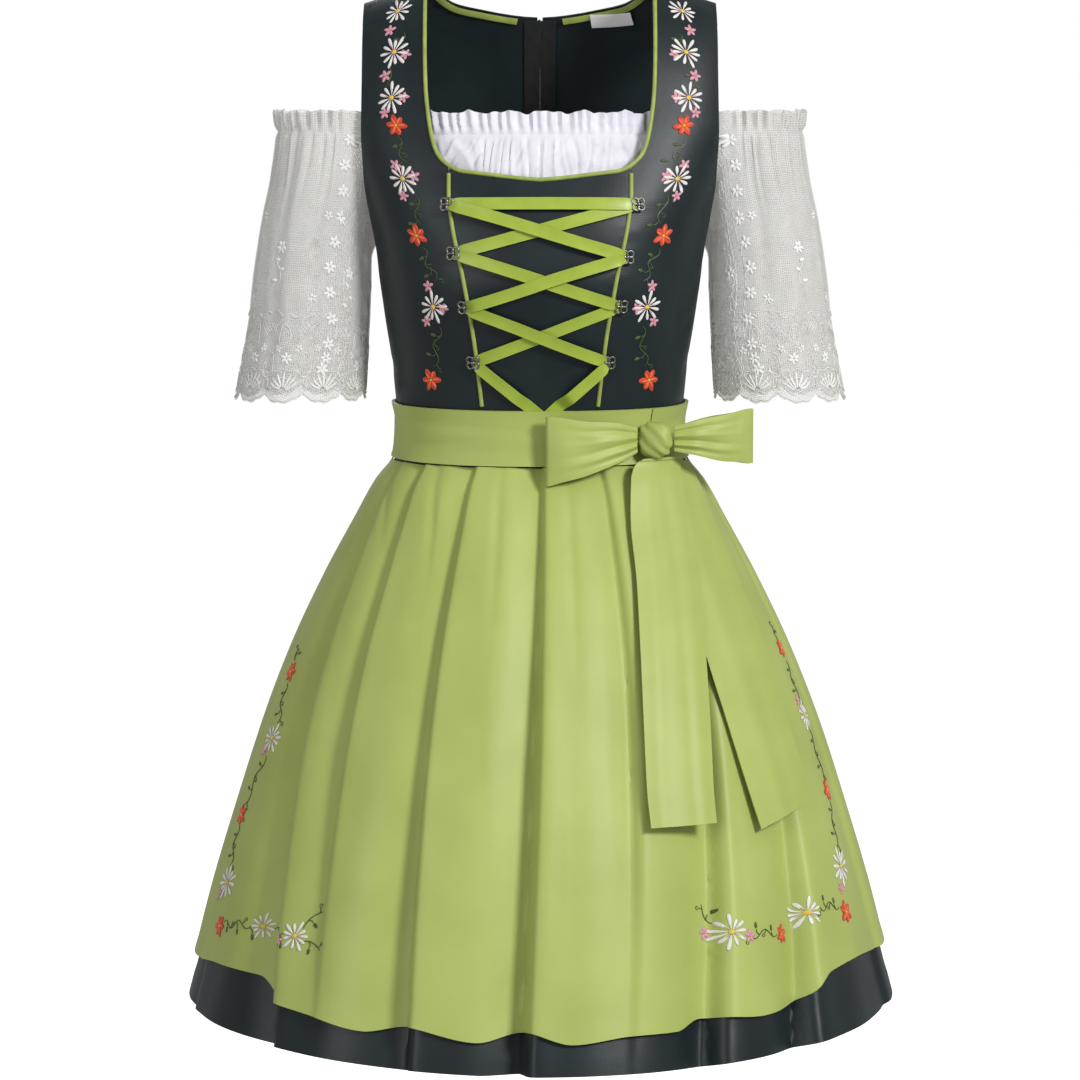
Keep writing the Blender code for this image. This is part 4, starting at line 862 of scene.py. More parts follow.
def knot_piece():
    deselect()
    bpy.ops.mesh.primitive_uv_sphere_add(segments=64, ring_count=40, radius=1, calc_uvs=True)
    knot = bpy.context.object
    points = np.array([v.co for v in knot.data.vertices])
    slant = points[:, 0] * math.sin(math.radians(40)) + points[:, 2] * math.cos(math.radians(40))
    wound = 1 + 0.055 * np.cos(slant * 11 + 0.8 * points[:, 0]) * (1 - np.abs(slant) ** 3)
    boxed = np.sign(points) * np.abs(points) ** 0.80 * wound[:, None]
    boxed = boxed * np.array(KNOT_SIZE) / 2
    turned = boxed @ np.array(Matrix.Rotation(math.radians(KNOT_TURN), 3, "Z")).T
    knot.data.vertices.foreach_set("co", (turned + np.array(KNOT_CENTRE)).ravel())
    for loop in knot.data.uv_layers.active.data:
        loop.uv = (loop.uv[0] * 0.08, loop.uv[1] * 0.04)
    knot.data.update()
    bpy.ops.object.shade_smooth()
    finish_piece(knot, "bow_knot_cloth", *APRON_CLOTH, ["bow_knot"])


knot_piece()


TAIL_CLEAR = 0.0032             # keeps the tails in front of the lips of the pleats


def tail_grid(rows, slant, folds):
    left, right, out = column_curves(rows)
    top, bottom = rows[0].depth, rows[-1].depth

    def surface(across, down):
        depth = top + (bottom - slant * across - top) * down
        x = left(depth) * (1 - across) + right(depth) * across
        ripple = 0.0015 * np.sin(np.pi * across)
        hang = sum(height * np.exp(-((across - middle - lean * down) / width) ** 2)
                   for middle, lean, width, height in folds) * fade(down * 6)
        edge = 0.0003 * np.exp(-((1 - down) / 0.03) ** 2)
        clear = TAIL_CLEAR * fade((depth - 0.43) / 0.12)
        return place(angle_at(x, depth), depth, out(depth) + THIN + ripple + hang + edge + clear,
                     folded=False)
    return surface


sheet_piece("bow_tail_front_cloth",
            tail_grid(TAIL_FRONT, 0.0, ((0.30, -0.12, 0.10, 0.0007), (0.60, 0.10, 0.08, -0.0005),
                                        (0.80, 0.02, 0.10, 0.0006))),
            26, 110, (0.0525, 0.42), THIN, *APRON_CLOTH, ["bow_tail_front"], 0.0183,
            "hung", rests_on=["apron_panel_cloth"])
sheet_piece("bow_tail_back_cloth",
            tail_grid(TAIL_BACK, TAIL_SLANT, ((0.35, 0.10, 0.12, 0.0010), (0.70, -0.05, 0.09, -0.0005))),
            26, 110, (0.0525, 0.46), THIN, *APRON_CLOTH, ["bow_tail_back"], 0.0208,
            "hung", rests_on=["apron_panel_cloth"])

# %% [markdown]
# ## Blouse
# A strip of crinkled voile gathered on elastic. Above the elastic it stands up as a small wavy ruffle;
# below it the gathers run down and break into slanting wrinkles. The lower edge is inside the bodice.

# %% Blouse tables and surface
BLOUSE = [(0.095, 0.1580, 0.0735, 0.0755, 2.4), (0.120, 0.1535, 0.0800, 0.0790, 2.4),
          (0.150, 0.1450, 0.0880, 0.0820, 2.4), (0.200, 0.1330, 0.1050, 0.0860, 2.4),
          (0.262, 0.1250, 0.1040, 0.0850, 2.4)]
BLOUSE_TOP_FRONT, BLOUSE_TOP_BACK, BLOUSE_BOTTOM, UNDERARM = 0.0985, 0.1050, 0.262, 0.199
RAGLAN_TOP_ANGLE = 52.0
ELASTIC_BELOW_TOP = 0.0185
BLOUSE_CURVES = column_curves(BLOUSE)


def blouse_point(angle, depth):
    x, y = ring_point(angle, *(read(depth) for read in BLOUSE_CURVES))
    return np.stack([x, y, -depth], axis=-1)


def blouse_edge_angle(depth):
    share = np.clip((depth - BLOUSE_TOP_FRONT) / (UNDERARM - BLOUSE_TOP_FRONT), 0, 1)
    return np.radians(RAGLAN_TOP_ANGLE + (90.0 - RAGLAN_TOP_ANGLE) * share ** 1.3)


def blouse_surface(angle, depth, top, lift=0.0):
    """Gathers: quick ridges in the ruffle, pinched at the elastic, then slanting wrinkles."""
    below = depth - top
    elastic = np.exp(-((below - ELASTIC_BELOW_TOP) / 0.0016) ** 2)
    degrees = np.degrees(angle)
    ruffle = np.sin(degrees * 2.1 + 1.5 * waver(degrees * 0.5, 0.4) + 0.6 * waver(below * 300, 1.0))
    pleats = waver(degrees * 1.9 + 9 * waver(degrees * 0.13 + below * 22, 0.3), 1.9)
    slants = waver(below * 330 + degrees * 0.75 + 2.2 * waver(degrees * 0.3, 0.8), 0.2)
    in_ruffle = 1 - fade((below - 0.011) / 0.008)
    under = fade((below - ELASTIC_BELOW_TOP) / 0.008)
    out = in_ruffle * 0.0017 * ruffle + under * (0.0011 * pleats + 0.0011 * slants) - 0.0012 * elastic
    out = out * (1 - 0.75 * fade((below - 0.055) / 0.03))
    bulge = 0.0016 * fade((below - ELASTIC_BELOW_TOP) / 0.006) * (1 - fade((below - 0.04) / 0.02))
    wavy_top = 0.0022 * waver(degrees * 0.55, 0.6) * (1 - fade(below / 0.014))
    normal = np.stack([np.sin(angle), -np.cos(angle), 0 * angle], axis=-1)
    points = blouse_point(angle, depth) + normal * (out + bulge + lift)[..., None]
    points[..., 2] += wavy_top
    return points


def blouse_panel(top, behind):
    def surface(across, down):
        depth = top + (BLOUSE_BOTTOM - top) * down ** 1.25
        edge = blouse_edge_angle(depth) - math.radians(0.06)
        angle = edge * (2 * across - 1) + (math.pi if behind else 0)
        return blouse_surface(angle, depth, top)
    return surface


sheet_piece("blouse_front_cloth", blouse_panel(BLOUSE_TOP_FRONT, False), 260, 68, (0.42, 0.17), THIN,
            *BLOUSE_CLOTH, ["blouse_front"], 0.057, "gathered")
sheet_piece("blouse_back_cloth", blouse_panel(BLOUSE_TOP_BACK, True), 170, 40, (0.42, 0.16), THIN,
            *BLOUSE_CLOTH, ["blouse_back"], 0.052, "gathered")

# %% [markdown]
# ## Lace sleeves
# Each sleeve is a tube of lace on net with a scalloped lower edge, gathered on elastic at the top, where
# it ends in a ruffle. The two raglan seams join it to the blouse. The net is the clear part of
# the wall; the corded pattern is laid on it as real raised thread.

# %% Sleeve tables and surface
SLEEVE = [(0.096, 0.1270, 0.2220, 0.0470, 2.7), (0.116, 0.1290, 0.2205, 0.0475, 2.7),
          (0.150, 0.1320, 0.2245, 0.0485, 2.6), (0.180, 0.1375, 0.2312, 0.0490, 2.5),
          (0.205, 0.1415, 0.2358, 0.0505, 2.3), (0.240, 0.1424, 0.2412, 0.0530, 2.2),
          (0.272, 0.1437, 0.2448, 0.0550, 2.1), (0.306, 0.1460, 0.2511, 0.0570, 2.1),
          (0.338, 0.1480, 0.2572, 0.0590, 2.0)]
SLEEVE_TOP, SLEEVE_HEM, RAGLAN_SHARE = 0.0970, 0.334, 0.36
SCALLOPS = 10
SLEEVE_CURVES = column_curves(SLEEVE)


def sleeve_ring(turn, depth):
    inner, outer, half_depth, roundness = (read(depth) for read in SLEEVE_CURVES)
    sine, cosine = np.sin(turn), np.cos(turn)
    size = (np.abs(sine) ** roundness + np.abs(cosine) ** roundness) ** (-1 / roundness)
    across = (inner + outer) / 2 + (outer - inner) / 2 * size * cosine
    return np.stack([across, half_depth * size * sine, -depth], axis=-1)


def sleeve_top(turn):
    """The neckline over the arm, then down and up the two raglan seams."""
    share = turn / (2 * math.pi)
    neck = sleeve_ring(turn, np.full(turn.shape, SLEEVE_TOP))
    toward_body = np.clip(np.abs(share - 0.5) / (RAGLAN_SHARE / 2), 0, 1)
    depth = UNDERARM + (BLOUSE_TOP_FRONT - UNDERARM) * toward_body
    edge = blouse_edge_angle(depth)
    angle = np.where(share < 0.5, math.pi - edge - 0.001, edge + 0.001)
    seam = blouse_point(angle, depth) + np.array((0.0014, 0.0, 0.0))
    return np.where((toward_body < 1)[..., None], seam, neck)


def sleeve_depth(turn, share):
    top = sleeve_top(turn)
    lobe = np.abs(np.cos(SCALLOPS / 2 * turn + 0.4))
    small_lobe = np.abs(np.sin(SCALLOPS * 1.5 * turn + 0.6))
    hem = SLEEVE_HEM - 0.0045 + 0.0085 * lobe ** 0.6 + 0.0015 * small_lobe
    return -top[..., 2] + (hem + top[..., 2]) * share


def sleeve_surface(turn, share, lift=0.0):
    """Turn 0 is the arm's outer side, a quarter is its back, a half faces the body."""
    turn = turn % (2 * math.pi)
    top = sleeve_top(turn)
    depth = sleeve_depth(turn, share)
    shift = (top - sleeve_ring(turn, -top[..., 2])) * (1, 1, 0)
    points = sleeve_ring(turn, depth) + shift * (1 - fade(share / 0.16))[..., None]
    open_side = fade((np.abs(turn / (2 * math.pi) - 0.5) - RAGLAN_SHARE / 2) / 0.06)
    below = depth + top[..., 2]
    elastic = np.exp(-((below - 0.0185) / 0.0022) ** 2)
    degrees = np.degrees(turn)
    ruffle = ((1 - fade((below - 0.010) / 0.008)) * 0.0022
              * np.sin(degrees * 0.62 + waver(degrees * .1, 1.)))
    gathers = 0.0014 * waver(degrees * 0.60 + 3 * waver(degrees * 0.05 + below * 7, 0.5), 0.3)
    gathers = gathers * (1 - fade((below - 0.02) / 0.085)) * fade((below - 0.012) / 0.01)
    falls = 0.0016 * waver(degrees * 0.11 + below * 3, 1.1) * fade(below / 0.06)
    out = (ruffle + gathers - 0.0022 * elastic) * open_side + falls * (0.4 + 0.6 * open_side)
    centre = sleeve_ring(0 * turn, depth) * 0.5 + sleeve_ring(0 * turn + math.pi, depth) * 0.5
    outward = unit((points - centre) * (1, 1, 0))
    points = points + outward * (out + lift)[..., None]
    points[..., 2] += 0.0018 * waver(degrees * 0.30, 0.2) * open_side * (1 - fade(below / 0.014))
    return points


def sleeve_grid(side):
    def surface(across, down):
        turn = 2 * math.pi * (across if side > 0 else 1 - across)
        return sleeve_surface(turn * 0.9999999, down) * np.array((side, 1, 1))
    return surface


for word, side in (("left", -1), ("right", 1)):
    sheet_piece(f"blouse_sleeve_{word}_cloth", sleeve_grid(side), 210, 56, (0.36, 0.235), THIN * 0.8,
                "sleeve_net", "sleeve_lace", [f"blouse_sleeve_{word}"], 0.071, "gathered", closed=True)

# %% [markdown]
# ## Trimmings laid on the form
# Piping is a bias strip folded over a cord: half round, a little over 3 mm wide. A trimming
# follows a line on the form, with its middle standing up.

# %% Helper for trimmings
TrimRow = namedtuple("TrimRow", "width out crown")


def even_line(angle, depth, count):
    """The same line with its points evenly spaced."""
    rough = place(angle, depth, 0.0, folded=False)
    length = np.concatenate([[0], np.cumsum(np.linalg.norm(np.diff(rough, axis=0), axis=1))])
    even = np.linspace(0, length[-1], count)
    return np.interp(even, length, angle), np.interp(even, length, depth), length[-1]


def trim_surface(angle, depth, trim):
    middle = place(angle, depth, 0.0, folded=False)
    normal = body_normal(angle, np.sqrt(depth))
    side = unit(np.cross(unit(np.gradient(middle, axis=0)), normal))
    count = len(angle)

    def surface(across, down):
        i = np.clip(np.rint(across * (count - 1)).astype(int), 0, count - 1)
        share = 1 - 2 * down
        rise = trim.out + trim.crown * np.sqrt(np.maximum(1 - share ** 2, 0.0))
        return middle[i] - side[i] * (share * trim.width / 2)[:, None] + normal[i] * rise[:, None]
    return surface


def trim_piece(name, line, count, trim, thick, finish, slot, nodes, across_count=8):
    angle, depth, length = even_line(*line, count + 1)
    piece = grid_shell(trim_surface(angle, depth, trim), count, across_count,
                       (length, trim.width), thick)
    finish_piece(piece, name, finish, slot, nodes)
    print(f"{name}: {length * 1000:.0f} mm long")
    return piece


# %% Piping and the overlocked neck edge
PIPING = TrimRow(0.0034, CLOTH + TRIM_LIFT - 0.0006, 0.0016)
PIPING_THICK = 0.0007


def neck_line():
    """Down the left strap, round the corner, along the neckline and up the right strap."""
    inset = 0.0016
    strap = np.linspace(0.0014, 0.1405, 60)
    level = np.linspace(0.0700, 0.0, 30)
    across = np.concatenate([FRONT_SEAM(strap) + inset, level])
    depth = np.concatenate([strap, NECK_LEVEL(level) + inset])
    for _ in range(6):           # rounds the corner
        across[1:-1] = (across[:-2] + 2 * across[1:-1] + across[2:]) / 4
        depth[1:-1] = (depth[:-2] + 2 * depth[1:-1] + depth[2:]) / 4
    across = np.concatenate([-across, across[-2::-1]])
    depth = np.concatenate([depth, depth[-2::-1]])
    return angle_at(across, depth), depth


trim_piece("neck_piping_front_cord", neck_line(), 420, PIPING, PIPING_THICK, *PIPING_CLOTH,
           ["neck_piping_front"])
seam_depth = np.linspace(0.1490, BAND_TOP - 0.001, 60)
back_depth = np.linspace(0.0014, 0.0465, 40)
facing_depth = np.linspace(0.0052, 0.0425, 40)
FACING = TrimRow(0.0052, LINING_SIDE - THIN - 0.0004, -0.0003)
FACING_LINES = {}
for word, side in (("left", -1), ("right", 1)):
    seam = (angle_at(side * FRONT_SEAM(seam_depth), seam_depth), seam_depth)
    trim_piece(f"seam_piping_{word}_cord", seam, 190, PIPING, PIPING_THICK, *PIPING_CLOTH,
               [f"seam_piping_{word}"])
    back = angle_at(side * np.maximum(BACK_SEAM(back_depth), 0.0030), back_depth + 0.0016, behind=True)
    trim_piece(f"neck_piping_back_{word}_cord", (back, back_depth + 0.0016), 120, PIPING, PIPING_THICK,
               *PIPING_CLOTH, [f"neck_piping_back_{word}"])
    inner = angle_at(side * BACK_SEAM(facing_depth), facing_depth + 0.0028, behind=True)
    FACING_LINES[side] = (inner, facing_depth + 0.0028)
    trim_piece(f"neck_facing_back_{word}_cloth", FACING_LINES[side], 110, FACING, 0.0006,
               *PIPING_CLOTH, [f"neck_facing_back_{word}"], 6)

# %% [markdown]
# ## Lacing
# Eight cast clover hooks are sewn beside the princess seams, and one satin ribbon runs over them: it
# starts under the apron band, climbs crossing from side to side, crosses level at the top and comes
# down again. It is pinched where it goes through a hook, and lies flat between them.

# %% Hooks
HookRow = namedtuple("HookRow", "name across depth")
HOOKS = [HookRow(*row) for row in (
    ("L1", -0.0745, 0.1742), ("L2", -0.0690, 0.2130), ("L3", -0.0600, 0.2558), ("L4", -0.0535, 0.3012),
    ("R1", 0.0785, 0.1742), ("R2", 0.0695, 0.2160), ("R3", 0.0645, 0.2552), ("R4", 0.0550, 0.3012))]
LOBE_RADIUS, LOBE_OFFSET, HOOK_WIRE = 0.0026, 0.0034, 0.00085
BOSS_RADIUS = 0.0017
HOOK_LIFT = 0.0042              # of the wire's middle above the cloth


def clover_hook():
    """Four wire lobes round a small boss, with a sewing eye above, all cast in one."""
    deselect()
    parts = []
    for k in range(4):
        turn = math.radians(45 + 90 * k)
        bpy.ops.mesh.primitive_torus_add(
            location=(LOBE_OFFSET * math.cos(turn), LOBE_OFFSET * math.sin(turn), 0),
            major_radius=LOBE_RADIUS, minor_radius=HOOK_WIRE, major_segments=28, minor_segments=10)
        parts.append(bpy.context.object)
    bpy.ops.mesh.primitive_uv_sphere_add(segments=20, ring_count=12, radius=BOSS_RADIUS,
                                         location=(0, 0, 0.0005))
    parts.append(bpy.context.object)
    bpy.ops.mesh.primitive_torus_add(location=(0, 0, -0.0016), major_radius=0.0020, minor_radius=0.0006,
                                     major_segments=24, minor_segments=8)
    parts.append(bpy.context.object)
    for part in parts:
        part.select_set(True)
    bpy.context.view_layer.objects.active = parts[0]
    bpy.ops.object.join()
    bpy.ops.object.transform_apply(location=True, rotation=True, scale=True)
    bpy.ops.object.shade_smooth()
    return parts[0]


pattern = clover_hook()
for row in HOOKS:
    hook = pattern.copy()
    hook.data = pattern.data.copy()
    bpy.context.collection.objects.link(hook)
    angle = angle_at(row.across, row.depth)
    normal = body_normal(angle, math.sqrt(row.depth))
    side = unit(np.cross((0.0, 0.0, 1.0), normal))
    up = np.cross(normal, side)
    middle = place(angle, row.depth, HOOK_LIFT + CLOTH, folded=False)
    hook.data.transform(Matrix.Translation(middle) @ Matrix(np.stack([side, up, normal], 1)).to_4x4())
    finish_piece(hook, f"lace_hook_{row.name}_cast", "antique_nickel", "hook_metal",
                 [f"lace_hook_{row.name}"])
bpy.data.objects.remove(pattern, do_unlink=True)
print("hooks:", len(HOOKS))

# %% Lacing ribbon
RIBBON_WIDTH = 0.010
LaceRow = namedtuple("LaceRow", "start end level")
LACES = [LaceRow(*row) for row in (
    ("tuck_left", "L4", 1), ("L4", "R3", 0), ("R3", "L2", 1), ("L2", "R1", 0), ("R1", "L1", 1),
    ("L1", "R2", 2), ("R2", "L3", 3), ("L3", "R4", 2), ("R4", "tuck_right", 3))]
LACE_TUCKS = {"tuck_left": (-0.0010, 0.3455), "tuck_right": (0.0075, 0.3455)}
UNDER_BAND, UNDER_HOOK = CLOTH - 0.0003, 0.0024


def ribbon_run(number, row):
    stations = {hook.name: (hook.across, hook.depth) for hook in HOOKS} | LACE_TUCKS
    start, end = np.array(stations[row.start]), np.array(stations[row.end])
    count = 52
    share = np.linspace(0, 1, count + 1)
    line = start + share[:, None] * (end - start)
    length = np.linalg.norm(end - start)
    level = CLOTH + TRIM_LIFT + THIN + SEAM_GAP + row.level * (THIN + 2 * SEAM_GAP)
    from_start = share * length if row.start not in LACE_TUCKS else np.full(count + 1, 1.0)
    from_end = (1 - share) * length if row.end not in LACE_TUCKS else np.full(count + 1, 1.0)
    near = np.minimum(from_start, from_end)
    pinch = 1 - 0.45 * np.exp(-(near / 0.0050) ** 2)
    through = HOOK_LIFT + CLOTH - UNDER_HOOK
    out = level + (through - level) * np.exp(-(near / 0.0045) ** 2)
    out = out + (UNDER_BAND - out) * fade((line[:, 1] - 0.3290) / 0.0095)
    angle, depth = angle_at(line[:, 0], line[:, 1]), line[:, 1]
    middle = place(angle, depth, 0.0, folded=False) + body_normal(angle, np.sqrt(depth)) * out[:, None]
    normal = body_normal(angle, np.sqrt(depth))
    side = unit(np.cross(unit(np.gradient(middle, axis=0)), normal))

    def surface(across, down):
        i = np.rint(across * count).astype(int)
        s = 1 - 2 * down
        gathered = 0.00045 * (1 - pinch[i]) * np.cos(s * 7)
        cup = 0.00035 * s ** 2 + gathered + 0.0002 * waver(across * 9, number)
        roll = 0.0004 * s * np.sin(across * np.pi) * (-1) ** number
        return (middle[i] - side[i] * (s * RIBBON_WIDTH / 2 * pinch[i])[:, None]
                + normal[i] * (THIN + cup + roll)[:, None])
    return grid_shell(surface, count, 6, (length, RIBBON_WIDTH), 0.0006), length


runs = [ribbon_run(number, row) for number, row in enumerate(LACES, 1)]
deselect()
for run, _ in runs:
    run.select_set(True)
bpy.context.view_layer.objects.active = runs[0][0]
bpy.ops.object.join()
lacing = bpy.context.object
lacing_length = sum(length for _, length in runs)
finish_piece(lacing, "lacing_ribbon", "ribbon_double_satin", "lace_ribbon",
             [f"lace_ribbon_{n}" for n in range(1, 10)])
print("lacing on show:", round(lacing_length, 3), "m")

# %% [markdown]
# ## Zip and label
# The zip closes the back from the neck to below the waist: two woven tapes on the inside, and between
# the panels a chain of moulded teeth. The label is a blank strip of satin, stitched at both
# ends inside the back neck.

# %% Zip tapes, chain and label
ZIP_TAPE_INNER, ZIP_TAPE_OUTER = 0.0002, 0.0135
TOOTH_PITCH, TOOTH_SIZE, TOOTH_SHIFT = 0.0022, (0.00120, 0.00078, 0.00060), 0.0006
zip_rows = np.linspace(0.0480, 0.442, 200)
for word, side in (("left", -1), ("right", 1)):
    middle = angle_at(np.full(200, side * (ZIP_TAPE_INNER + ZIP_TAPE_OUTER) / 2), zip_rows, behind=True)
    tape = TrimRow(ZIP_TAPE_OUTER - ZIP_TAPE_INNER, LINING_SIDE, 0.0)
    trim_piece(f"zip_tape_{word}_woven", (middle, zip_rows), 200, tape, 0.0007, "zip_tape_twill",
               "zip_tape", [f"zip_tape_{word}"], 6)


def joined_copies(name, places, pattern_faces):
    """One mesh of many copies of a small pattern; places gives each copy's points."""
    count = len(places[0])
    points = np.concatenate(places)
    faces = [[index + copy * count for index in face] for copy in range(len(places))
             for face in pattern_faces]
    mesh = bpy.data.meshes.new(name)
    mesh.from_pydata(points.tolist(), [], faces)
    piece = bpy.data.objects.new(name, mesh)
    bpy.context.collection.objects.link(piece)
    return piece


def primitive_arrays(add, **settings):
    """The points and faces of a primitive, which is then removed."""
    deselect()
    add(**settings)
    thing = bpy.context.object
    points = np.array([v.co for v in thing.data.vertices])
    faces = [list(face.vertices) for face in thing.data.polygons]
    bpy.data.objects.remove(thing, do_unlink=True)
    return points, faces


tooth, tooth_faces = primitive_arrays(bpy.ops.mesh.primitive_uv_sphere_add, segments=6, ring_count=5,
                                      radius=1)
tooth = np.sign(tooth) * np.abs(tooth) ** 0.6 * np.array(TOOTH_SIZE)       # a sphere made boxy
teeth = []
for k, depth in enumerate(np.arange(0.0490, 0.4405, TOOTH_PITCH / 2)):
    centre = place(math.pi, depth, LINING_SIDE + 0.0002, folded=False)
    normal = body_normal(np.float64(math.pi), math.sqrt(depth))
    across = np.array((1.0, 0.0, 0.0))
    down = np.cross(across, normal)
    shifted = centre + across * (TOOTH_SHIFT if k % 2 else -TOOTH_SHIFT)
    teeth.append(shifted + tooth @ np.stack([across, down, normal]))
chain = joined_copies("zip_chain_teeth", teeth, tooth_faces)
for face in chain.data.polygons:
    face.use_smooth = True
finish_piece(chain, "zip_chain_teeth", "black_lacquered_zinc", "zip_metal", ["zip_chain"])
print("teeth:", len(teeth))

label_across = np.linspace(0.0440, 0.0790, 40)
label_depth = curve((0.0440, 0.0560, 0.0680, 0.0790), (0.0395, 0.0362, 0.0325, 0.0285))(label_across)
label_line = (angle_at(label_across, label_depth, behind=True), label_depth)
trim_piece("neck_label_blank", label_line, 60, TrimRow(0.012, LINING_SIDE - 2.4 * THIN, -0.0005), 0.0005,
           "label_blank_satin", "label_satin", ["neck_label"], 12)

# %% [markdown]
# ## Stitches, cords and embroidery
# All thread work is drawn in one way. A design is flat, in metres to the right and up from its own
# middle, and is laid on a cloth surface, so it follows each fold. A line of thread is a small
# tube; a petal is a flattened sphere of satin stitch, modelled once and copied.

# %% Helpers for thread work
# surface gives points from two places and a lift; bare is the same without its folds
Cloth = namedtuple("Cloth", "surface bare")


def unfolded(angle, depth):
    return place(angle, depth, 0.0, folded=False)


apron_cloth, bodice_cloth = Cloth(apron_surface, unfolded), Cloth(bodice_surface, unfolded)
skirt_cloth = Cloth(skirt_surface, unfolded)


def surface_scale(cloth, at):
    """How many metres one unit of each of the cloth's two places covers."""
    first, second = at
    a, b, c, d = (cloth.bare(np.float64(first + p), np.float64(second + q))
                  for p, q in ((-0.05, 0), (0.05, 0), (0, -0.004), (0, 0.004)))
    return np.linalg.norm(b - a) / 0.1, np.linalg.norm(d - c) / 0.008


def lay(cloth, at, flat, lift):
    """Points of a flat design on cloth: right and up from the place at, and how far off it."""
    round_scale, down_scale = surface_scale(cloth, at)
    return cloth.surface(at[0] + flat[:, 0] / round_scale, at[1] - flat[:, 1] / down_scale, lift)


def petal_pattern(segments, rings):
    points, faces = primitive_arrays(bpy.ops.mesh.primitive_uv_sphere_add, segments=segments,
                                     ring_count=rings, radius=1)
    return points[:, [2, 0, 1]], faces           # its poles lie along the petal


PETAL, SEED = petal_pattern(8, 6), petal_pattern(6, 4)


class ThreadWork:
    """Collects petals and lines of thread, and joins them in one mesh."""

    def __init__(self, pattern, sides):
        self.pattern, self.sides = pattern, sides
        self.points, self.faces, self.uv, self.finish, self.total = [], [], [], [], 0

    def add(self, points, faces, uv, finish):
        self.points.append(points)
        self.faces.extend([[index + self.total for index in face] for face in faces])
        self.uv.append(uv)
        self.finish.extend([finish] * len(faces))
        self.total += len(points)

    def petal(self, cloth, at, root, turn, length, width, height, finish, taper=0.45):
        along, aside, up = self.pattern[0].T
        reach = (along + 1) / 2 * length
        aside = aside * width / 2 * (1 - taper + taper * along)
        cosine, sine = math.cos(turn), math.sin(turn)
        flat = np.stack([root[0] + reach * cosine - aside * sine,
                         root[1] + reach * sine + aside * cosine], 1)
        points = lay(cloth, at, flat, height * (up * 0.5 + 0.35))
        self.add(points, self.pattern[1], np.stack([reach, aside], 1), finish)

    def line(self, cloth, at, path, width, height, finish, smooth=3, base=0.0):
        path = np.asarray(path, float)
        steps = np.linspace(0, len(path) - 1, (len(path) - 1) * smooth + 1)
        path = np.stack([np.interp(steps, range(len(path)), path[:, k]) for k in (0, 1)], 1)
        for _ in range(2 if smooth > 1 else 0):
            path[1:-1] = (path[:-2] + 2 * path[1:-1] + path[2:]) / 4
        ahead = np.gradient(path, axis=0)
        ahead /= np.maximum(np.linalg.norm(ahead, axis=1, keepdims=True), 1e-9)
        side = np.stack([-ahead[:, 1], ahead[:, 0]], 1)
        sides = self.sides
        around = np.arange(sides) * 2 * np.pi / sides
        share = np.sin(np.linspace(0, np.pi, len(path))) ** 0.25 * 0.9 + 0.1
        flat = (path[:, None] + side[:, None] * (np.cos(around)[None, :, None] * width / 2
                                                 * share[:, None, None])).reshape(-1, 2)
        lift = base + (0.35 + 0.5 * np.sin(around)[None, :] * share[:, None]) * height
        points = lay(cloth, at, flat, lift.ravel())
        faces = []
        for i in range(len(path) - 1):
            for k in range(sides):
                m = (k + 1) % sides
                faces.append([i * sides + k, (i + 1) * sides + k, (i + 1) * sides + m, i * sides + m])
        last = (len(path) - 1) * sides
        faces += [list(range(sides)), [last + k for k in reversed(range(sides))]]
        run = np.repeat(np.arange(len(path)) * 0.002, sides)
        self.add(points, faces, np.stack([run, np.tile(around * 0.0003, len(path))], 1), finish)

    def piece(self, name, finishes, slot, nodes=()):
        mesh = bpy.data.meshes.new(name)
        points = np.concatenate(self.points)
        mesh.from_pydata(points.tolist(), [], self.faces)
        uv = np.concatenate(self.uv)
        layer = mesh.uv_layers.new(name="thread")
        corners = np.empty(len(mesh.loops), int)
        mesh.loops.foreach_get("vertex_index", corners)
        layer.data.foreach_set("uv", uv[corners].ravel())
        shell = bmesh.new()
        shell.from_mesh(mesh)
        bmesh.ops.recalc_face_normals(shell, faces=shell.faces)
        shell.to_mesh(mesh)
        shell.free()
        mesh.polygons.foreach_set("use_smooth", [True] * len(mesh.polygons))
        thing = bpy.data.objects.new(name, mesh)
        bpy.context.collection.objects.link(thing)
        finish_piece(thing, name, finishes, slot, nodes)
        mesh.polygons.foreach_set("material_index", [finishes.index(each) for each in self.finish])
        mesh.update()
        print(f"{name}: {len(mesh.polygons)} faces")
        return thing


# %% Flowers and vines
FLOWER_THREADS = ["thread_white", "thread_pink", "thread_red", "thread_orange", "thread_yellow",
                  "thread_vine"]


def daisy(work, cloth, at, size=0.0245, turn=0.0, petals=11, blush=True):
    """White petals of uneven length, some with a pink stroke, round a yellow eye."""
    for k in range(petals):
        way = turn + 2 * math.pi * k / petals + 0.10 * math.sin(5.1 * k + turn)
        long = size / 2 * (0.86 + 0.14 * math.sin(3.7 * k + 2 * turn))
        root = (0.0016 * math.cos(way), 0.0016 * math.sin(way))
        work.petal(cloth, at, root, way, long, size * 0.165, 0.0011, "thread_white")
        if blush and k % 3 == 0:
            work.line(cloth, at, [root, (long * 0.7 * math.cos(way), long * 0.7 * math.sin(way))],
                      0.0007, 0.0006, "thread_pink", base=0.0006)
    work.petal(cloth, at, (-0.0022, 0.0), 0.0, 0.0044, 0.0042, 0.0016, "thread_yellow", taper=0.0)


def star_flower(work, cloth, at, size, turn, finish, heart, petals=5):
    """Five pointed petals round a small eye."""
    for k in range(petals):
        way = turn + 2 * math.pi * k / petals + 0.08 * math.sin(2.3 * k)
        root = (0.0006 * math.cos(way), 0.0006 * math.sin(way))
        work.petal(cloth, at, root, way, size / 2 * (0.9 + 0.1 * math.sin(k * 2.9)), size * 0.24, 0.0010,
                   finish, taper=-0.15)
    work.petal(cloth, at, (-size * 0.06, 0.0), 0.0, size * 0.12, size * 0.12, 0.0015, heart, taper=0.0)


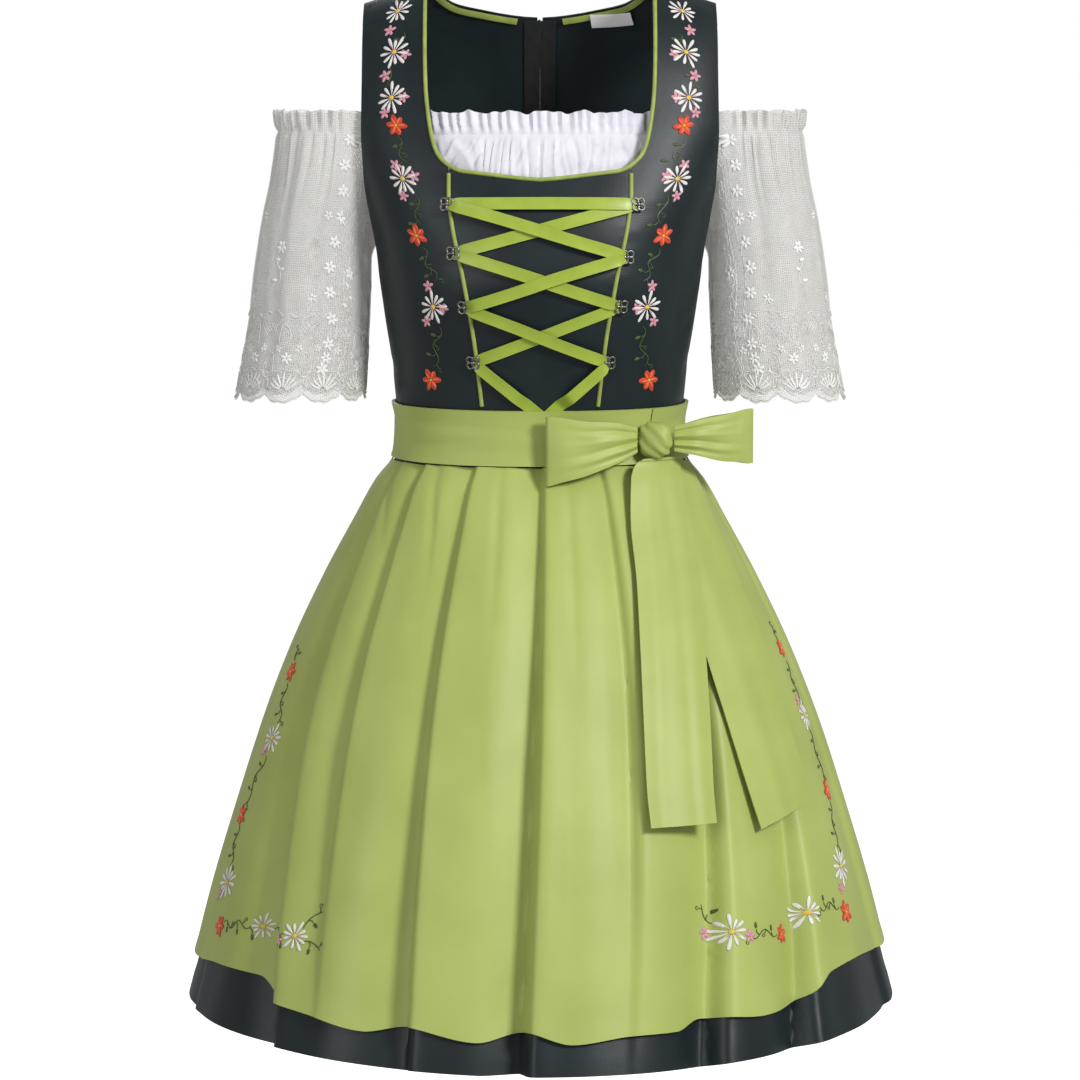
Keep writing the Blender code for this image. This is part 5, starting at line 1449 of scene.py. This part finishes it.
def poppy(work, cloth, at, size=0.019, turn=0.0):
    """Red petals with orange strokes laid over them, and a yellow eye."""
    star_flower(work, cloth, at, size, turn, "thread_red", "thread_yellow", 6)
    for k in range(6):
        way = turn + 2 * math.pi * (k + 0.15) / 6
        root = (0.001 * math.cos(way), 0.001 * math.sin(way))
        work.petal(cloth, at, root, way, size * 0.34, size * 0.10, 0.0016, "thread_orange", taper=-0.1)


def vine(work, cloth, start, end, curls=2, swing=0.0035, leaves=3):
    """A stem that swings from side to side between two places, with tendrils and small leaves."""
    at = ((start[0] + end[0]) / 2, (start[1] + end[1]) / 2)
    round_scale, down_scale = surface_scale(cloth, at)
    a = np.array(((start[0] - at[0]) * round_scale, -(start[1] - at[1]) * down_scale))
    b = -a
    run = b - a
    length = max(np.linalg.norm(run), 1e-6)
    ahead = run / length
    side = np.array((-ahead[1], ahead[0]))
    share = np.linspace(0, 1, 5 * curls + 3)
    swingy = swing * np.sin(share * curls * math.pi + 0.3)
    path = a + share[:, None] * run + swingy[:, None] * side
    work.line(cloth, at, path, 0.0010, 0.0008, "thread_vine")
    for k in range(leaves):
        t = (k + 0.6) / leaves
        way = 1 if k % 2 else -1
        foot = a + t * run + swing * math.sin(t * curls * math.pi + 0.3) * side
        tip = foot + 0.0062 * (0.5 * ahead + way * side * 0.85)
        bend = foot + 0.0036 * (0.9 * ahead + way * side * 0.5)
        work.line(cloth, at, [foot, bend, tip], 0.0008, 0.0006, "thread_vine", base=0.0002)
        if k % 2 == 0:
            turn = math.atan2(*(tip - foot)[::-1]) + 0.5 * way
            work.petal(cloth, at, tip, turn, 0.0052, 0.0024, 0.0009, "thread_vine", taper=-0.2)
        else:
            curl = [tip, tip + 0.0026 * ahead, tip + 0.0030 * ahead - way * 0.0022 * side,
                    tip + 0.0008 * ahead - way * 0.0024 * side]
            work.line(cloth, at, curl, 0.0007, 0.0006, "thread_vine", base=0.0002)


# %% [markdown]
# The bodice has one garland down each front strap to the waist; the apron has one down each side,
# which turns the corner and runs a little way along the hem. White daisies, small pink
# stars and red poppies are strung on dark green vines. The bodice's two sides mirror each other,
# and the apron's two are alike but not mirrored.

# %% Bodice garlands
FlowerRow = namedtuple("FlowerRow", "kind angle depth size turn")
BODICE_FLOWERS = [FlowerRow(*row) for row in (
    ("daisy", 39.5, 0.017, 0.024, 0.2), ("pink", 42.0, 0.031, 0.011, 0.5),
    ("daisy", 40.5, 0.050, 0.027, 0.0), ("pink", 37.0, 0.054, 0.010, 1.0),
    ("pink", 43.5, 0.068, 0.011, 0.1), ("daisy", 41.5, 0.087, 0.026, 0.4),
    ("pink", 37.8, 0.088, 0.010, 0.7), ("pink", 44.0, 0.099, 0.010, 0.3),
    ("poppy", 40.5, 0.110, 0.019, 0.2), ("pink", 43.4, 0.142, 0.011, 0.9),
    ("daisy", 41.8, 0.153, 0.027, 0.1), ("pink", 37.8, 0.151, 0.011, 0.2),
    ("pink", 43.2, 0.167, 0.010, 0.6), ("poppy", 42.0, 0.199, 0.020, 0.5),
    ("pink", 40.0, 0.240, 0.010, 0.3), ("daisy", 38.8, 0.257, 0.026, 0.3),
    ("pink", 34.8, 0.258, 0.010, 0.8), ("pink", 42.4, 0.269, 0.010, 0.2),
    ("poppy", 43.4, 0.318, 0.020, 0.0))]
BODICE_VINES = [((41.0, 0.119), (39.5, 0.140), 2), ((39.0, 0.166), (39.6, 0.190), 2),
                ((40.8, 0.209), (36.5, 0.236), 3), ((37.2, 0.273), (41.2, 0.307), 3),
                ((42.5, 0.060), (43.0, 0.078), 1), ((38.0, 0.036), (38.6, 0.044), 1)]


def embroider(work, cloth, flowers, vines, side):
    for *ends, curls in vines:
        start, end = ((side * math.radians(angle), depth) for angle, depth in ends)
        vine(work, cloth, start, end, curls, leaves=curls + 1)
    for row in flowers:
        at = (side * math.radians(row.angle), row.depth)
        turn = row.turn if side > 0 else math.pi - row.turn
        if row.kind == "daisy":
            daisy(work, cloth, at, row.size, turn)
        elif row.kind == "poppy":
            poppy(work, cloth, at, row.size, turn)
        else:
            star_flower(work, cloth, at, row.size, turn, "thread_pink", "thread_yellow")


bodice_work = ThreadWork(PETAL, 5)
for side in (-1, 1):
    embroider(bodice_work, bodice_cloth, BODICE_FLOWERS, BODICE_VINES, side)
bodice_work.piece("bodice_embroidery", FLOWER_THREADS, "dress_satin")

# %% Apron garlands
APRON_LEFT = [FlowerRow(*row) for row in (
    ("poppy", -71.5, 0.565, 0.019, 0.2), ("daisy", -68.5, 0.618, 0.026, 0.2),
    ("poppy", -72.5, 0.684, 0.020, 0.7), ("daisy", -70.0, 0.738, 0.030, 0.5),
    ("poppy", -68.5, 0.773, 0.019, 0.1), ("daisy", -55.5, 0.761, 0.021, 0.4),
    ("daisy", -44.5, 0.762, 0.025, 0.1), ("pink", -48.0, 0.768, 0.011, 0.4),
    ("pink", -70.5, 0.629, 0.011, 0.3), ("pink", -72.5, 0.750, 0.011, 0.6))]
APRON_LEFT_VINES = [((-71.3, 0.574), (-68.0, 0.606), 3), ((-68.8, 0.632), (-72.0, 0.676), 3),
                    ((-72.2, 0.692), (-70.6, 0.726), 3), ((-67.0, 0.770), (-57.5, 0.762), 4),
                    ((-53.5, 0.762), (-47.0, 0.762), 2), ((-43.0, 0.756), (-39.5, 0.738), 1),
                    ((-43.0, 0.766), (-38.5, 0.769), 1), ((-71.5, 0.556), (-72.5, 0.546), 1)]
APRON_RIGHT = [FlowerRow(*row) for row in (
    ("poppy", 73.5, 0.546, 0.019, 0.4), ("daisy", 72.0, 0.601, 0.026, 0.3),
    ("poppy", 71.5, 0.662, 0.021, 0.1), ("daisy", 66.5, 0.722, 0.033, 0.6),
    ("poppy", 63.5, 0.757, 0.021, 0.5), ("daisy", 51.5, 0.748, 0.024, 0.2),
    ("poppy", 45.5, 0.760, 0.017, 0.3), ("daisy", 33.0, 0.752, 0.027, 0.5),
    ("pink", 36.5, 0.757, 0.011, 0.2), ("pink", 30.0, 0.750, 0.011, 0.4),
    ("pink", 70.5, 0.588, 0.011, 0.1), ("pink", 64.0, 0.738, 0.011, 0.6))]
APRON_RIGHT_VINES = [((73.4, 0.556), (71.8, 0.590), 3), ((71.8, 0.612), (71.8, 0.654), 3),
                     ((71.0, 0.670), (67.4, 0.708), 3), ((61.5, 0.750), (54.0, 0.746), 3),
                     ((43.8, 0.758), (36.0, 0.756), 3), ((32.0, 0.744), (29.8, 0.728), 1),
                     ((73.8, 0.538), (74.4, 0.528), 1)]
apron_work = ThreadWork(PETAL, 5)
embroider(apron_work, apron_cloth, APRON_LEFT, APRON_LEFT_VINES, 1)
embroider(apron_work, apron_cloth, APRON_RIGHT, APRON_RIGHT_VINES, 1)
apron_work.piece("apron_embroidery", FLOWER_THREADS, "apron_satin")

# %% [markdown]
# ## Lace on the sleeves
# The pattern is drawn in cord on the net. Each scallop of the hem carries a fan over a looped edge;
# above the fans are paisley leaves, a lattice and small flowers. One floral strip with a ladder of
# bars runs up the front of the sleeve, and sprigs are scattered over the rest.

# %% Sleeve lace
FRONT_STRIP, FAN_WIDTH = math.radians(238), 0.030
LADDER_HALF, LADDER_STEP = 0.0042, 0.029          # metres, and a share of the sleeve's length


def sleeve_cloth(side):
    def surface(turn, share, lift=0.0):
        return sleeve_surface(turn, np.clip(share, 0.02, 0.999), lift) * np.array((side, 1, 1))

    def bare(turn, share):
        return surface(np.atleast_1d(turn), np.atleast_1d(share))[0]
    return Cloth(surface, bare)


def lace_cord(work, cloth, at, path, width=0.0008, height=0.0007, smooth=2):
    work.line(cloth, at, path, width, height, "thread_lace", smooth)


def small_flower(work, cloth, at, size, turn, petals=6):
    for k in range(petals):
        way = turn + 2 * math.pi * k / petals
        work.petal(cloth, at, (0.0004 * math.cos(way), 0.0004 * math.sin(way)), way, size / 2,
                   size * 0.26, 0.0008, "thread_lace", taper=-0.1)


def paisley(work, cloth, at, size, lean):
    """A curled leaf outlined in cord, with a smaller one inside."""
    for scale, wide in ((1.0, 0.0008), (0.55, 0.0006)):
        path = [(scale * size * (0.42 * math.cos(t) * (1 - 0.25 * math.sin(t))
                                 + lean * 0.22 * math.sin(t) ** 2),
                 scale * size * 0.75 * math.sin(t)) for t in np.linspace(-1.4, 4.9, 15)]
        lace_cord(work, cloth, at, path, wide)


def lobe_fan(work, cloth, at, wide):
    """Seven ribs that spread from a small eye, joined by two looped arcs."""
    for k in range(7):
        way = math.radians(90 + 24 * (k - 3))
        work.petal(cloth, at, (0.0016 * math.cos(way), 0.0016 * math.sin(way)), way,
                   wide * (0.50 - 0.03 * abs(k - 3)), 0.0019, 0.0008, "thread_lace", taper=-0.1)
    for reach in (0.36, 0.58):
        arc = [(wide * reach * (1 + 0.06 * math.sin(9 * t)) * math.cos(t),
                wide * reach * (1 + 0.06 * math.sin(9 * t)) * math.sin(t))
               for t in np.linspace(-0.2, 3.35, 19)]
        lace_cord(work, cloth, at, arc)


def sleeve_work(side):
    work, cloth = ThreadWork(SEED, 4), sleeve_cloth(side)
    lobe_turn = 2 * math.pi / SCALLOPS
    for k in range(SCALLOPS):
        middle = (lobe_turn * k - 0.08) % (2 * math.pi)
        lobe_fan(work, cloth, (middle, 0.955), FAN_WIDTH)
        paisley(work, cloth, (middle + lobe_turn / 2, 0.885), 0.013, 1 if k % 2 else -1)
        paisley(work, cloth, (middle + lobe_turn * 0.5, 0.955), 0.007, -1 if k % 2 else 1)
        small_flower(work, cloth, (middle, 0.845), 0.010, 0.3 * k)
        small_flower(work, cloth, (middle + lobe_turn * 0.25, 0.815), 0.006, 0.2 * k, 5)
        small_flower(work, cloth, (middle + lobe_turn * 0.72, 0.82), 0.007, 0.5 * k, 5)
        lean = 1 if k % 2 else -1
        paisley(work, cloth, (middle + lobe_turn * 0.1, 0.765), 0.012, -lean)
        for bar in range(5):      # a lattice of crossed bars between the paisley leaves
            shift = 0.0032 * (bar - 2)
            for way in (-1, 1):
                bar_ends = [(shift - way * 0.0065, -0.008), (shift + way * 0.0065, 0.008)]
                lace_cord(work, cloth, (middle + lobe_turn * 0.6, 0.755), bar_ends, 0.0006, 0.0005)
        if k % 2 == 0:
            vine_at = (middle + lobe_turn * 0.5, 0.52 + 0.05 * math.sin(2.1 * k))
            small_flower(work, cloth, vine_at, 0.011, 0.4 * k)
            stem = [(0.004 * math.sin(t * 1.7), -0.004 - 0.0075 * t) for t in range(5)]
            lace_cord(work, cloth, vine_at, stem, 0.0007, 0.0006, smooth=3)
            for leaf, way in ((0.012, 0.6), (0.020, 2.5), (0.028, 0.5)):
                foot = (0.001 * math.sin(leaf * 300), -leaf)
                work.petal(cloth, vine_at, foot, way, 0.0065, 0.0026, 0.0007, "thread_lace", taper=-0.2)
        else:
            small_flower(work, cloth, (middle + lobe_turn * 0.3, 0.36), 0.008, 0.3 * k, 5)
            small_flower(work, cloth, (middle + lobe_turn * 0.5, 0.655), 0.008, 0.9 * k, 5)
    turns = np.linspace(0.0, 2 * math.pi, 241)
    for share, wide, wave in ((0.990, 0.0014, 0.0), (0.965, 0.0008, 0.004), (0.700, 0.0008, 0.006)):
        path = np.stack([turns, share + wave * np.sin(turns * SCALLOPS * 3)], 1)
        for start in range(0, 240, 20):
            run = path[start:start + 21]
            at = tuple(run[10])
            across_scale, down_scale = surface_scale(cloth, at)
            flat = np.stack([(run[:, 0] - at[0]) * across_scale, -(run[:, 1] - at[1]) * down_scale], 1)
            lace_cord(work, cloth, at, flat, wide, 0.0009, smooth=1)
    for k in range(30):           # the ladder, with a flower at every third bar
        at = (FRONT_STRIP + 0.05 * math.sin(k * 0.5), 0.10 + LADDER_STEP * k)
        if at[1] > 0.94:
            break
        for way in (-1, 1):
            rail = [(way * LADDER_HALF, -0.0035), (way * 0.0046, 0.0), (way * LADDER_HALF, 0.0035)]
            lace_cord(work, cloth, at, rail, 0.0008, 0.0006)
        lace_cord(work, cloth, at, [(-LADDER_HALF, 0.0), (LADDER_HALF, 0.0)], 0.0007, 0.0006)
        if k % 3 == 0:
            small_flower(work, cloth, (at[0] + 0.17, at[1]), 0.011, k * 0.4)
            paisley(work, cloth, (at[0] - 0.16, at[1] + 0.02), 0.009, 1 if k % 2 else -1)
    return work


for word, side in (("left", -1), ("right", 1)):
    sleeve_work(side).piece(f"sleeve_lace_cords_{word}", ["thread_lace"], "sleeve_lace")

# %% [markdown]
# ## Rows of stitches
# The apron hem is stitched 9 mm above its edge and the skirt hem 20 mm above, in stitches 3 mm long. The
# facing behind the neck has an overlocked edge, which is a zigzag over it.

# %% Hem and overlock stitches
STITCH, STITCH_STEP = 0.0030, 0.0040
OVERLOCK_LENGTH, OVERLOCK_STEP, OVERLOCK_HALF = 0.115, 0.0011, 0.0022


def hem_stitches(name, cloth, hem, band, low, high, finish, slot):
    work = ThreadWork(SEED, 4)
    angle = math.radians(low)
    while angle < math.radians(high):
        at = (angle, float(hem(np.float64(angle))) - band)
        work.petal(cloth, at, (0.0, 0.0), 0.0, STITCH, 0.0006, 0.0005, finish, taper=0.0)
        angle += STITCH_STEP / surface_scale(cloth, at)[0]
    return work.piece(name, [finish], slot)


hem_stitches("apron_hem_stitches", apron_cloth, apron_hem_depth, APRON_HEM_BAND, -95.5, 95.5,
             "thread_green", "apron_satin")
hem_stitches("skirt_hem_stitches", skirt_cloth, hem_depth, HEM_BAND, -179.5, 179.5, "thread_dark",
             "dress_satin")

overlock = ThreadWork(SEED, 4)
for side in (-1, 1):
    angle, depth = FACING_LINES[side]
    angle, depth, _ = even_line(angle, depth, int(OVERLOCK_LENGTH / OVERLOCK_STEP))

    def inside_neck(place_angle, place_depth, lift=0.0):
        return place(place_angle, place_depth, LINING_SIDE - THIN - 0.0006 - lift, folded=False)

    lining = Cloth(inside_neck, unfolded)
    middle = unfolded(angle, depth)
    for i in range(2, len(angle) - 3, 2):
        at = (angle[i], depth[i])
        ahead = (middle[i + 1] - middle[i - 1]) / 2
        round_step = np.array((np.hypot(ahead[0], ahead[1]) * np.sign(angle[i + 1] - angle[i - 1]),
                               ahead[2]))
        aside = np.array((-round_step[1], round_step[0]))
        aside = aside / max(np.linalg.norm(aside), 1e-9) * OVERLOCK_HALF
        overlock.line(lining, at, [-round_step - aside, aside, round_step - aside], 0.0005, 0.0004,
                      "thread_green", smooth=2)
overlock.piece("neck_overlock_stitches", ["thread_green"], "piping_green")

# %% [markdown]
# ## Closing the scene
# Every carried-over metal part gets its plating.

# %% Metals
for node_name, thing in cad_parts.items():
    if node_name in ("zip_slider", "zip_pull"):
        thing.data.materials.clear()
        thing.data.materials.append(FINISH["black_lacquered_zinc"])
